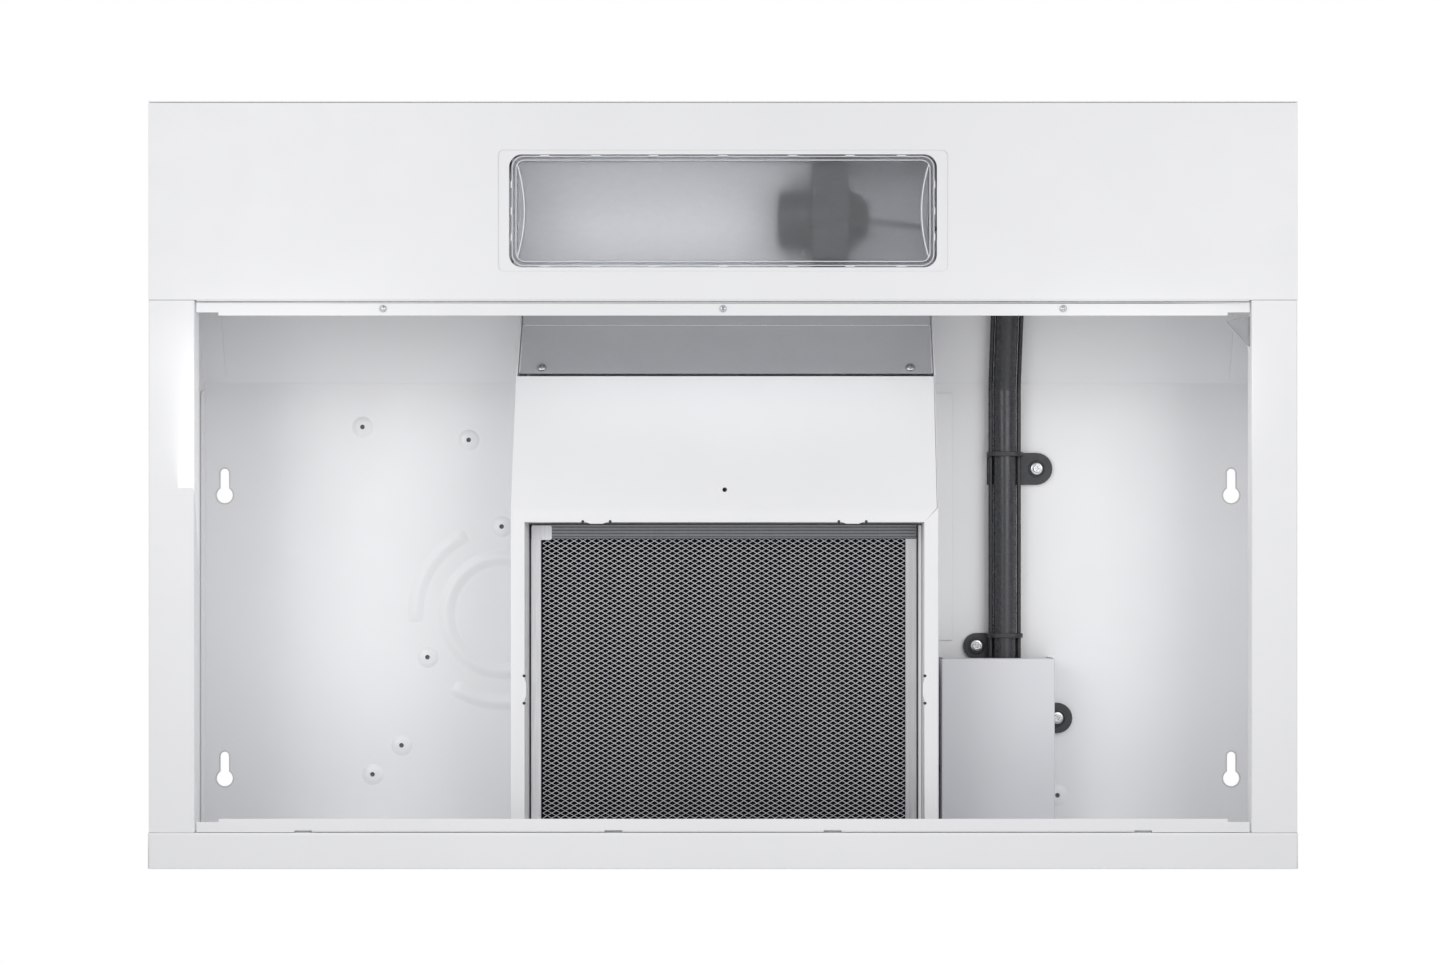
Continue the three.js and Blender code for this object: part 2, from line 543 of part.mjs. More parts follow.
function lens() {
  const { bottom, height } = LENS;
  const tray = extrude(rimmed(LENS, 0), 'z', bottom, bottom + height, 5);
  const hollow = extrude(rimmed(LENS, 1.4), 'z', bottom + 1.6, bottom + height + 1, 5);
  return cut(tray, hollow);
}

function lampReflector() {
  const { half, front, back, top } = REFLECTOR;
  const z0 = BOTTOM + BEZEL.rise + SHEET + GAP;
  const shell = cut(box(-half, half, front, back, z0, top),
    box(-half + SHEET, half - SHEET, front + SHEET, back - SHEET, z0 - 1, top - SHEET));
  const leadHole = bar(3, 'x', half - 3, half + 2, -262.4, -105.6, 10);
  const vents = [-100, -60, -20, 20].map((x) => box(x - 12, x + 12, -269, -265, top - 3, top + 1));
  return cut(shell, leadHole, ...vents);
}

function lampSocket() {
  const { open, shoulder, end, y, z } = SOCKET;
  const profile = [[0, open], [13.6, open], [13.6, open + 1], [19.3, open + 1], [19.3, shoulder], [24.6, shoulder],
    [24.6, 80], [11, end], [0, end]].map(([r, x]) => new THREE.Vector2(r, x));
  const body = solid(new THREE.LatheGeometry(profile, 24).rotateZ(-Math.PI / 2).translate(0, y, z));
  return cut(body, bar(13.4, 'x', open - 1, shoulder + 8, y, z, 24));
}

// A saddle strap that carries the socket across the open mouth of the reflector.
function socketBracket() {
  const { z, wall, foot, saddle } = STRAP;
  const [y0, y1] = [REFLECTOR.front + SHEET + GAP, REFLECTOR.back - SHEET - GAP];
  const outline = ribbon([[y0, foot], [y0, wall], [y0 + saddle, wall], [y0 + saddle, z],
    [y1 - saddle, z], [y1 - saddle, wall], [y1, wall], [y1, foot]]);
  return extrude(outline, 'x', BRACKET_XS[0], BRACKET_XS[1]);
}

add('light_lens', lens(), LENS_PLASTIC);
add('lamp_reflector', lampReflector(), GALVANISED);
add('lamp_socket', lampSocket(), BLACK);
add('socket_bracket', socketBracket(), BLACK);

// ------------------------------------------------------------------ switches

function switchBody(x) {
  const { width, height, capWidth, capHeight, z } = SWITCH;
  const face = FRONT - GAP;
  const bezel = box(x - width / 2, x + width / 2, face - 1.6, face, z - height / 2, z + height / 2);
  const [bodyW, bodyH] = [width / 2 - 1.8, height / 2 - 1.8];
  const body = box(x - bodyW, x + bodyW, face - 0.5, face + 22, z - bodyH, z + bodyH);
  const well = box(x - capWidth / 2 - 0.5, x + capWidth / 2 + 0.5, face - 3, face + 12,
    z - capHeight / 2 - 0.6, z + capHeight / 2 + 0.6);
  const terminals = [-7, 0, 7].map((dz) => box(x - 2.4, x + 2.4, face + 21, face + 29, z + dz - 0.5, z + dz + 0.5));
  return cut(join(bezel, body, ...terminals), well);
}

// A rocker: two faces that meet at a shallow valley, over a half round belly.
function rocker(x, proud) {
  const { capWidth, capHeight } = SWITCH;
  const half = capHeight / 2;
  const outline = [[0, -half], [-proud, -half], [-proud + 1.6, 0], [-proud, half], [0, half], [4, half * 0.6],
    [5.5, 0], [4, -half * 0.6]];
  return extrude(outline, 'x', x - capWidth / 2, x + capWidth / 2);
}

const ROCKER_PROUD = 4.4;
const ROCKER_PIVOT_Y = FRONT + 1;

for (const [name, x] of Object.entries(SWITCH_XS)) {
  add(`${name}_switch_body`, switchBody(x), BLACK);
  const cap = add(`${name}_rocker`, rocker(x, ROCKER_PROUD), BLACK);
  cap.position.set(0, ROCKER_PIVOT_Y, SWITCH.z);
}

// -------------------------------------------------------------------- wiring

function wiringBox() {
  const { left, right, front, back, bottom } = WIRING_BOX;
  const top = -SHEET - GAP;
  const shell = cut(box(left, right, front, back, bottom, top),
    box(left + SHEET, right - SHEET, front + SHEET, back - SHEET, bottom + SHEET, top + 1));
  const entry = box(left + SHEET, right - SHEET, front - 1, front + SHEET + 1, bottom + LIP, top + 1);
  const clampNotch = box(right - 3, right + 2, CLAMPS[2].y - 12, CLAMPS[2].y + 12, top - 5, top + 1);
  const leadNotch = box(left - 1, left + 3, 104, 116, -20, top + 1);
  return cut(shell, entry, clampNotch, leadNotch);
}

function harnessRun(offsetX, depth, ending) {
  const x = HARNESS.x + offsetX;
  const slopeRun = [-180, -205, -232, -244].map((y) => [x, ...underSlope(y, depth)]);
  return [[x, 95, -depth], [x, 40, -depth], [x, -60, -depth], [x, -150, -depth], [x, -163, -depth],
    ...slopeRun, ...ending];
}

const leadOffset = HARNESS.sleeve + GAP + HARNESS.lead;
const sleeveDepth = -HARNESS.z;
add('wiring_box_cover', wiringBox(), BOX_GREY);
add('harness_sleeve', cable(harnessRun(0, sleeveDepth, []).slice(0, -1), HARNESS.sleeve, 30, 14), BLACK);
add('lamp_lead', cable(harnessRun(-leadOffset, sleeveDepth, [[180, -262, -62], [162, -264, -90],
  [150, -262, -104], [120, -264, -107], [SOCKET.end + GAP, SOCKET.y, SOCKET.z]]),
HARNESS.lead, 40, 8), BLACK);
add('switch_lead', cable(harnessRun(leadOffset, sleeveDepth, [[222, -266, -62], [258, -288, -86],
  [290, -302, -96], [299.6, -303, -96]]), HARNESS.lead, 40, 8), BLACK);
add('motor_lead', cable([[164, 110, -14], [130, 110, -14], [96, 100, -18], [68, 72, -24],
  [44.6, 52, -24]], 2.4, 20, 8), BLACK);

// Cable holder: a plate behind the cables with a screwed tab, and a narrow tie that
// goes round the sleeve and the two leads at the plate's front edge.
function clamp({ x, y, side, width }) {
  const { wall, tab, tie } = CLAMP;
  const halfW = leadOffset + HARNESS.lead + GAP;
  const halfH = HARNESS.sleeve + GAP;
  const band = (grow) => roundedRectangle(HARNESS.x - halfW - grow, HARNESS.x + halfW + grow,
    HARNESS.z - halfH - grow, HARNESS.z + halfH + grow, halfH + grow - 0.01);
  const clear = extrude(band(0), 'y', y - width, y + width, 5);
  const front = y - width / 2;
  const loop = extrude(band(wall), 'y', front, front + tie, 5);
  const top = -SHEET - GAP;
  const [x0, x1] = [HARNESS.x - side * halfW, x].sort((a, b) => a - b);
  const plate = join(box(x0, x1, front, y + width / 2, top - tab, top),
    bar(width / 2, 'z', top - tab, top, x, y, 24));
  return cut(join(loop, plate), clear, bar(2.3, 'z', -10, 1, x, y, 12));
}

CLAMPS.forEach((spec, i) => {
  add(`cable_clamp_${i + 1}`, clamp(spec), BLACK);
  const mesh = add(`clamp_screw_${i + 1}`, screw(4.3, 2.6, 1.9, CLAMP.tab + GAP + SHEET), STEEL);
  mesh.position.set(spec.x, spec.y, -SHEET - 2 * GAP - CLAMP.tab);
});

const WIRE_NUT = { radius: 5, length: 20 };
[[166, 56], [166, 72], [182, 124]].forEach(([x, y], i) => {
  const profile = [[0, 0], [WIRE_NUT.radius, 0], [WIRE_NUT.radius * 0.6, WIRE_NUT.length], [0, WIRE_NUT.length]]
    .map(([r, z]) => new THREE.Vector2(r, z));
  const nut = solid(new THREE.LatheGeometry(profile, 12).rotateX(Math.PI / 2).rotateZ(0.4 * (i - 1)));
  add(`wire_nut_${i + 1}`, nut.translate([x, y, -24]), BLACK);
});
const groundScrew = add('ground_screw', screw(4, 2.2, 1.8, 2), STEEL);
groundScrew.position.set(212, 148, -SHEET - GAP - 2.4);

export default hood;
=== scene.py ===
import json
import math

import bmesh
import bpy
from mathutils import Matrix, Vector

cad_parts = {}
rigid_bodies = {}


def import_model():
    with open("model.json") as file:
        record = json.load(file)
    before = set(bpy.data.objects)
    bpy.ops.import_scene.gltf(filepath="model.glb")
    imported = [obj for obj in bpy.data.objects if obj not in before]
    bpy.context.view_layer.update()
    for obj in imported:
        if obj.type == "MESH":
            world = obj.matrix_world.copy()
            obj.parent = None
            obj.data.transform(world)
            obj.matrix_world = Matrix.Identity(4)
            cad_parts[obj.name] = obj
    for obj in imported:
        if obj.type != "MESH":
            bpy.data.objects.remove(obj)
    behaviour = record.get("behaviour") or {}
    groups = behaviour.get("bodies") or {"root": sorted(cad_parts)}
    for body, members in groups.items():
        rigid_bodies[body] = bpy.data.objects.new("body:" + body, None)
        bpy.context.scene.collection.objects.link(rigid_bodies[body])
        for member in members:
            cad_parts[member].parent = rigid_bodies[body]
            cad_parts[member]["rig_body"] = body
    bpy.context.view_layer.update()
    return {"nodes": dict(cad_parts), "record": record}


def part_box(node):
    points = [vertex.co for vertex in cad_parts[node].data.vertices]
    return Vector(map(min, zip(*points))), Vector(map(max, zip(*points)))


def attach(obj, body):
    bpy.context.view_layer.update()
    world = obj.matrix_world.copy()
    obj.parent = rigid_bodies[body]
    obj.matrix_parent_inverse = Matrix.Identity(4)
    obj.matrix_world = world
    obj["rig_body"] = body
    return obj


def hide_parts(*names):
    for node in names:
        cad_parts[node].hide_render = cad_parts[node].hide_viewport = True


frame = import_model()
MM = 0.001

# ------------------------------------------------------------------ camera

CAMERA_PLACE = (0.0377, -0.019, -1.590)   # under the hood, looking straight up
CAMERA_LENS = 54.65
CAMERA_SHIFT = (-0.0398, 0.0737)


def make_camera():
    data = bpy.data.cameras.new("camera")
    data.lens = CAMERA_LENS
    data.sensor_width = 36
    data.shift_x, data.shift_y = CAMERA_SHIFT
    data.clip_end = 50
    camera = bpy.data.objects.new("camera", data)
    camera.location = CAMERA_PLACE
    camera.rotation_euler = (math.pi, 0, 0)
    bpy.context.scene.collection.objects.link(camera)
    bpy.context.scene.camera = camera


make_camera()

# --------------------------------------------------------------- materials


class Paint:
    """A Principled material whose texture nodes are added step by step."""

    def __init__(self, name, colour, roughness, metallic=0.0, **sockets):
        self.material = bpy.data.materials.new(name)
        self.material.use_nodes = True
        self.tree = self.material.node_tree
        self.shader = self.tree.nodes["Principled BSDF"]
        self.set(self.shader, "Base Color", (*colour, 1))
        self.set(self.shader, "Roughness", roughness)
        self.set(self.shader, "Metallic", metallic)
        for socket, value in sockets.items():
            self.set(self.shader, socket.replace("_", " "), value)
        self.colour = colour
        self.place = self.tree.nodes.new("ShaderNodeTexCoord").outputs["Object"]

    @staticmethod
    def set(node, socket, value):
        node.inputs[socket].default_value = value

    def link(self, output, node, socket):
        self.tree.links.new(output, node.inputs[socket])

    def stretched(self, scale):
        node = self.tree.nodes.new("ShaderNodeMapping")
        self.set(node, "Scale", scale)
        self.link(self.place, node, "Vector")
        return node.outputs["Vector"]

    def noise(self, scale, detail=2.0, stretch=(1, 1, 1)):
        node = self.tree.nodes.new("ShaderNodeTexNoise")
        self.link(self.stretched(stretch), node, "Vector")
        self.set(node, "Scale", scale)
        self.set(node, "Detail", detail)
        return node.outputs["Fac"]

    def cells(self, scale):
        node = self.tree.nodes.new("ShaderNodeTexVoronoi")
        self.link(self.place, node, "Vector")
        self.set(node, "Scale", scale)
        separate = self.tree.nodes.new("ShaderNodeSeparateColor")
        self.link(node.outputs["Color"], separate, "Color")
        return separate.outputs["Red"]

    def spread(self, factor, low, high):
        """The middle of a texture's range, stretched to run from low to high."""
        node = self.tree.nodes.new("ShaderNodeMapRange")
        self.link(factor, node, "Value")
        ends = {"From Min": 0.3, "From Max": 0.7, "To Min": low, "To Max": high}
        for socket, value in ends.items():
            self.set(node, socket, value)
        return node.outputs["Result"]

    def tint(self, factor, darker, lighter=1.0):
        """Colour varies with the factor between two multiples of the base colour."""
        node = self.tree.nodes.new("ShaderNodeMix")
        node.data_type = "RGBA"
        self.link(self.spread(factor, 0, 1), node, "Factor")
        colour_a, colour_b, mixed = node.inputs[6], node.inputs[7], node.outputs[2]
        colour_a.default_value = (*(c * darker for c in self.colour), 1)
        colour_b.default_value = (*(min(c * lighter, 1) for c in self.colour), 1)
        self.link(mixed, self.shader, "Base Color")
        return self

    def sheen_map(self, factor, low, high):
        """Roughness varies with the factor."""
        self.link(self.spread(factor, low, high), self.shader, "Roughness")
        return self

    def relief(self, height, strength, distance):
        node = self.tree.nodes.new("ShaderNodeBump")
        self.set(node, "Strength", strength)
        self.set(node, "Distance", distance)
        self.link(height, node, "Height")
        last = self.shader.inputs["Normal"].links
        if last:
            self.link(last[0].from_socket, node, "Normal")
        self.link(node.outputs["Normal"], self.shader, "Normal")
        return self


def enamel(name, colour, roughness=0.36):
    """Baked powder coat: faint orange peel, slight unevenness in gloss."""
    paint = Paint(name, colour, roughness, Coat_Weight=0.12, Coat_Roughness=0.2)
    broad = paint.noise(9, 3)
    paint.tint(broad, 0.985, 1.01)
    paint.sheen_map(paint.noise(40, 3), roughness - 0.04, roughness + 0.05)
    return paint.relief(paint.noise(700, 2), 0.08, 0.00015)


def galvanised(name, colour):
    """Zinc coated sheet with its faint, frost-like spangle."""
    paint = Paint(name, colour, 0.5, 0.55)
    paint.tint(paint.noise(60, 4), 0.985, 1.012)
    paint.sheen_map(paint.cells(420), 0.49, 0.53)
    return paint.relief(paint.noise(900, 3), 0.08, 0.0001)


def zinc(name, colour):
    paint = Paint(name, colour, 0.3, 1.0)
    paint.tint(paint.noise(500, 3), 0.85, 1.1)
    return paint.sheen_map(paint.noise(900, 2), 0.22, 0.42)


def aluminium(name, colour, roughness=0.34, metallic=0.95):
    """Rolled aluminium with fine drawing lines along Y."""
    paint = Paint(name, colour, roughness, metallic)
    grain = paint.noise(1400, 2, (1, 0.03, 1))
    paint.tint(grain, 0.92, 1.05)
    paint.sheen_map(grain, roughness - 0.06, roughness + 0.1)
    return paint.relief(grain, 0.1, 0.0001)


def moulded(name, colour, roughness, grain=1600, depth=0.15):
    """Moulded plastic with a fine spark-eroded grain."""
    paint = Paint(name, colour, roughness)
    paint.tint(paint.noise(60, 3), 0.93, 1.06)
    paint.sheen_map(paint.noise(180, 2), roughness - 0.06, roughness + 0.08)
    return paint.relief(paint.noise(grain, 2), depth, 0.00012)


def frosted(name, colour, roughness):
    """Light diffusing plastic: shapes behind it show through, blurred."""
    paint = Paint(name, colour, roughness, Transmission_Weight=0.94, IOR=1.2)
    paint.tint(paint.noise(240, 2), 0.97, 1.02)
    paint.sheen_map(paint.noise(900, 2), roughness - 0.04, roughness + 0.04)
    return paint.relief(paint.noise(2600, 2), 0.35, 0.0002)


PAINTS = {
    "white_enamel": enamel("white_enamel", (0.86, 0.865, 0.88)),
    "box_enamel": enamel("box_enamel", (0.65, 0.655, 0.685), 0.42),
    "galvanised_steel": galvanised("galvanised_steel", (0.6, 0.61, 0.635)),
    "zinc_screw": zinc("zinc_screw", (0.62, 0.63, 0.65)),
    "aluminium": aluminium("aluminium", (0.5, 0.505, 0.52)),
    "black_plastic": moulded("black_plastic", (0.03, 0.032, 0.036), 0.42),
    "frosted_lens": frosted("frosted_lens", (0.95, 0.96, 0.985), 0.47),
    "filter_pad": moulded("filter_pad", (0.006, 0.006, 0.007), 0.95, 500, 0.8),
    "motor_iron": galvanised("motor_iron", (0.12, 0.12, 0.13)),
    "sleeve_vinyl": moulded("sleeve_vinyl", (0.04, 0.042, 0.047), 0.26, 900, 0.03),
    "wire_vinyl": moulded("wire_vinyl", (0.022, 0.023, 0.026), 0.3, 900, 0.02),
    "mesh_metal": aluminium("mesh_metal", (0.68, 0.69, 0.72), 0.42),
    # Copies of aluminium for the filter rails, lighter or darker by how light falls on them: painted
    # highlight and painted shade.
    "rail_painted_half_shade": aluminium("rail_painted_half_shade", (0.62, 0.625, 0.64), 0.38, 0.6),
    "rail_painted_highlight": aluminium("rail_painted_highlight", (0.88, 0.885, 0.9), 0.4, 0.25),
    # Darker zinc: painted shade on the corner gusset.
    "gusset_painted_shade": galvanised("gusset_painted_shade", (0.31, 0.315, 0.33)),
    # Dark aluminium: painted shade on the filter's front and back rails.
    "channel_painted_shade": aluminium("channel_painted_shade", (0.26, 0.265, 0.28), 0.36),
    "reflector_white": enamel("reflector_white", (0.93, 0.93, 0.94), 0.6),
    # Opaque white: painted highlight on the cover's beads and bow ridges, and the clips' own white.
    "lens_highlight_and_clip_white": moulded("lens_highlight_and_clip_white", (0.86, 0.87, 0.9), 0.2, 2600, 0.1),
}
Paint.set(PAINTS["filter_pad"].shader, "Specular IOR Level", 0.1)
SLOTS = {s["node"]: s["material_slot"] for s in frame["record"]["subparts"]}

for node_name, node in frame["nodes"].items():
    node.data.materials.clear()
    node.data.materials.append(PAINTS[SLOTS[node_name]].material)

# ------------------------------------------------------------ shape helpers

BROAD_FACE = 2.5 * MM     # faces wider than this meet in a bend, narrower ones are sheet edges
LONG_EDGE = 12 * MM
BEND_SEGMENTS = 3


def box_mm(node):
    """A CAD node's lowest and highest corners, in millimetres."""
    return [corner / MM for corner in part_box(node)]


def centre_mm(node):
    """The middle of a CAD node's box, in millimetres."""
    low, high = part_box(node)
    return (low + high) / 2 / MM


def collection_link(obj):
    bpy.context.scene.collection.objects.link(obj)
    return obj


def add_piece(name, mesh, body, slot, *nodes, paint=None):
    """A new visible piece: it rides on a body and stands for the CAD nodes named."""
    mesh.materials.clear()
    mesh.materials.append(PAINTS[paint or slot].material)
    obj = collection_link(bpy.data.objects.new(name, mesh))
    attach(obj, body)
    if nodes:
        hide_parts(*nodes)


def soften(mesh, angle):
    """Smooth shading, except across edges sharper than the angle."""
    mesh.shade_smooth()
    mesh.set_sharp_from_angle(angle=math.radians(angle))
    return mesh


def baked(obj):
    """The object's mesh with its modifiers applied; the object itself is removed."""
    bpy.context.view_layer.update()
    depsgraph = bpy.context.evaluated_depsgraph_get()
    mesh = bpy.data.meshes.new_from_object(obj.evaluated_get(depsgraph))
    mesh.transform(obj.matrix_world)
    bpy.data.objects.remove(obj)
    return mesh


def from_bmesh(bm, name, angle=32):
    bmesh.ops.recalc_face_normals(bm, faces=bm.faces)
    mesh = bpy.data.meshes.new(name)
    bm.to_mesh(mesh)
    bm.free()
    return soften(mesh, angle)


def merged(meshes):
    bm = bmesh.new()
    for mesh in meshes:
        bm.from_mesh(mesh)
    mesh = bpy.data.meshes.new("joined")
    bm.to_mesh(mesh)
    bm.free()
    return mesh


def mark_bends(bm, edge, bend):
    """Bevel weights: full at a bend between two broad faces, small at a sheet's edge."""
    weight = bm.edges.layers.float.new("bevel_weight_edge")
    for item in bm.edges:
        if len(item.link_faces) != 2 or item.calc_face_angle(0) < math.radians(35):
            continue
        length = item.calc_length()
        breadth = min(face.calc_area() for face in item.link_faces) / max(length, MM)
        item[weight] = edge / bend
        if breadth > BROAD_FACE and length > LONG_EDGE:
            item[weight] = 1.0 if item.is_convex else edge / bend * 1.5


def refined(source, edge, bend):
    """A copy of a mesh with radiused bends and softened edges; both sizes in millimetres."""
    bm = bmesh.new()
    bm.from_mesh(source)
    bmesh.ops.remove_doubles(bm, verts=bm.verts, dist=2e-6)
    bmesh.ops.dissolve_limit(bm, angle_limit=math.radians(0.5), verts=bm.verts, edges=bm.edges)
    mark_bends(bm, edge, bend)
    bmesh.ops.triangulate(bm, faces=[face for face in bm.faces if len(face.verts) > 4])
    clean = bpy.data.meshes.new(source.name)
    bm.to_mesh(clean)
    bm.free()
    clean.shade_smooth()
    obj = collection_link(bpy.data.objects.new("rounding", clean))
    bevel = obj.modifiers.new("bevel", "BEVEL")
    bevel.width = bend * MM
    bevel.segments = BEND_SEGMENTS
    bevel.limit_method = "WEIGHT"
    bevel.use_clamp_overlap = False
    flat = obj.modifiers.new("flat_faces", "WEIGHTED_NORMAL")
    flat.mode = "FACE_AREA"
    flat.weight = 100
    return baked(obj)


def refine(node_name, edge, bend, paint=None):
    """Replaces a CAD node with its own shape, finished with bend radii."""
    source = frame["nodes"][node_name]
    mesh = refined(source.data, edge, bend)
    add_piece("fine_" + node_name, mesh, source["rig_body"], SLOTS[node_name], node_name, paint=paint)


def on_circle(x, y, radius, angle):
    return x + radius * math.cos(angle), y + radius * math.sin(angle)


def circle(x, y, radius, count):
    return [on_circle(x, y, radius, 2 * math.pi * i / count) for i in range(count)]


def rectangle(x0, x1, y0, y1, radius=0.0, arc=6):
    """A rectangle's outline, its corners rounded where a radius is given."""
    if radius <= 0:
        return [(x0, y0), (x1, y0), (x1, y1), (x0, y1)]
    corners = ((x1 - radius, y0 + radius, -90), (x1 - radius, y1 - radius, 0),
               (x0 + radius, y1 - radius, 90), (x0 + radius, y0 + radius, 180))
    outline = []
    for cx, cy, start in corners:
        for i in range(arc + 1):
            outline.append(on_circle(cx, cy, radius, math.radians(start + 90 * i / arc)))
    return outline


def sheet_plate(outlines, thickness, edge):
    """A flat sheet in XY, its lower face at z = 0, from closed outlines: the outer one
    and its holes, in millimetres. Its edges are rounded to the radius given."""
    curve = bpy.data.curves.new("sheet", "CURVE")
    curve.dimensions = "2D"
    curve.fill_mode = "BOTH"
    curve.extrude = (thickness / 2 - edge) * MM
    curve.bevel_depth = edge * MM
    curve.bevel_resolution = 1
    curve.offset = -edge * MM
    for outline in outlines:
        spline = curve.splines.new("POLY")
        spline.points.add(len(outline) - 1)
        spline.use_cyclic_u = True
        for point, (x, y) in zip(spline.points, outline):
            point.co = (x * MM, y * MM, 0, 1)
    obj = collection_link(bpy.data.objects.new("sheet", curve))
    mesh = baked(obj)
    mesh.transform(Matrix.Translation((0, 0, thickness / 2 * MM)))
    return soften(mesh, 50)


def lathe(profile, sides):
    """Turns (radius, z) points round the Z axis, in millimetres."""
    bm = bmesh.new()
    rings = []
    for radius, z in profile:
        if radius < 1e-6:
            rings.append([bm.verts.new((0, 0, z * MM))])
            continue
        rings.append([bm.verts.new((radius * MM * math.cos(2 * math.pi * i / sides),
                                    radius * MM * math.sin(2 * math.pi * i / sides), z * MM))
                      for i in range(sides)])
    for low, high in zip(rings, rings[1:]):
        for i in range(sides):
            j = (i + 1) % sides
            corners = [low[i % len(low)], low[j % len(low)],
                       high[j % len(high)], high[i % len(high)]]
            unique = list(dict.fromkeys(corners))
            if len(unique) > 2:
                bm.faces.new(unique)
    return from_bmesh(bm, "lathe", 40)


def moved(mesh, x=0.0, y=0.0, z=0.0, turn=None):
    """The mesh, turned by a matrix if one is given, and moved by millimetres."""
    if turn is not None:
        mesh.transform(turn)
    mesh.transform(Matrix.Translation((x * MM, y * MM, z * MM)))
    return mesh


def loop_shell(loops, close_last=False):
    """Bridges loops of equal length into a surface, and can close the last one with a
    face. Loops are lists of (x, y, z) in millimetres."""
    bm = bmesh.new()
    rows = [[bm.verts.new((x * MM, y * MM, z * MM)) for x, y, z in loop] for loop in loops]
    for a, b in zip(rows, rows[1:]):
        for i in range(len(a)):
            j = (i + 1) % len(a)
            bm.faces.new((a[i], a[j], b[j], b[i]))
    if close_last:
        bm.faces.new(rows[-1])
    bmesh.ops.remove_doubles(bm, verts=bm.verts, dist=1e-6)
    return from_bmesh(bm, "shell", 40)


def tube(points, radius):
    """A smooth round cable through points in millimetres."""
    curve = bpy.data.curves.new("tube", "CURVE")
    curve.dimensions = "3D"
    curve.bevel_depth = radius * MM
    curve.bevel_resolution = 6
    curve.use_fill_caps = True
    curve.resolution_u = 10
    spline = curve.splines.new("BEZIER")
    spline.bezier_points.add(len(points) - 1)
    for point, place in zip(spline.bezier_points, points):
        point.co = [c * MM for c in place]
        point.handle_left_type = point.handle_right_type = "AUTO"
    return soften(baked(collection_link(bpy.data.objects.new("tube", curve))), 40)


def rod(points, radius, closed=False):
    """A thin bar along straight stretches between points in millimetres."""
    curve = bpy.data.curves.new("rod", "CURVE")
    curve.dimensions = "3D"
    curve.bevel_depth = radius * MM
    curve.bevel_resolution = 3
    curve.use_fill_caps = not closed
    spline = curve.splines.new("POLY")
    spline.points.add(len(points) - 1)
    spline.use_cyclic_u = closed
    for point, place in zip(spline.points, points):
        point.co = (*(c * MM for c in place), 1)
    return soften(baked(collection_link(bpy.data.objects.new("rod", curve))), 40)


# ---------------------------------------------------------- the shell's top

SHEET = 0.8
TOP_LOW, TOP_HIGH = box_mm("top_panel")
HALF = TOP_HIGH.x
BACK = TOP_HIGH.y
FOLD = -BACK              # the line where the flat top turns into the slope
FRONT = TOP_LOW.y
FASCIA_TOP = TOP_LOW.z + SHEET
SLOPE = math.atan2(-FASCIA_TOP, FOLD - FRONT)
SLOPE_LENGTH = math.hypot(FASCIA_TOP, FOLD - FRONT)
BEND_RADIUS = 4.0
BEND_START = BEND_RADIUS * math.tan(SLOPE / 2)

KEYHOLE = {"x": 364.5, "ys": (-86.2, 118.8), "radius": 6.25, "slot": 3.5, "reach": 19.7}
RING = {"x": -162.7, "y": 0, "inner": 35.3, "outer": 47.2, "arc_inner": 58, "arc_outer": 69.5}
RING_POINTS = 64
ARC_MIDDLES = (-30, -150, -270)
ARC_SPAN = 70
ARC_ROWS = 28
ARC_COLUMNS = 8
RELIEF = 1.4
DIMPLES = ((-264.6, -135.6), (-187.7, -126.2), (-163.8, -63.5), (-217.5, 31.1), (-107.8, 31.4),
           (-236.3, 94.9), (-257.3, 115.9), (238.5, 131.1))
DIMPLE = ((7.6, 0), (6.9, -0.4), (5.2, -1.1), (3.2, -1.4), (1.7, -1.5))
CLAMP_SCREWS = ("clamp_screw_1", "clamp_screw_2", "clamp_screw_3")
CLAMP_HOLE = 2.3
LOUVRES = {"count": 24, "pitch": 10.4, "half": 2.5, "length": 44, "y": -236}


def keyhole(x, y):
    """A mounting hole's outline: a round hole with a narrow slot to the front."""
    k = KEYHOLE
    mouth = math.asin(k["slot"] / k["radius"])
    start = -math.pi / 2 + mouth
    turn = 2 * math.pi - 2 * mouth
    wide = [on_circle(x, y, k["radius"], start + turn * i / 24) for i in range(25)]
    end_y = y - k["reach"] + k["slot"]
    narrow = [on_circle(x, end_y, k["slot"], math.pi + math.pi * i / 12) for i in range(13)]
    return wide + narrow


def arc_grid(middle):
    """Rows of points over one embossed arc, each row from the inner to the outer radius."""
    r0, r1 = RING["arc_inner"], RING["arc_outer"]
    rows = []
    for i in range(ARC_ROWS + 1):
        angle = math.radians(middle + ARC_SPAN * (i / ARC_ROWS - 0.5))
        from_end = min(i, ARC_ROWS - i) / ARC_ROWS * math.radians(ARC_SPAN) * r0 / (r1 - r0)
        fade = math.sin(min(from_end, 0.5) * math.pi) ** 0.7
        row = []
        for j in range(ARC_COLUMNS + 1):
            across = j / ARC_COLUMNS
            x, y = on_circle(RING["x"], RING["y"], r0 + (r1 - r0) * across, angle)
            row.append((x, y, -RELIEF * fade * math.sin(math.pi * across) ** 1.5))
        rows.append(row)
    return rows


def arc_outline(middle):
    rows = arc_grid(middle)
    outer_side = [row[-1] for row in rows[1:-1]]
    inner_side = [row[0] for row in rows[-2:0:-1]]
    rim = rows[0] + outer_side + rows[-1][::-1] + inner_side
    return [point[:2] for point in rim]


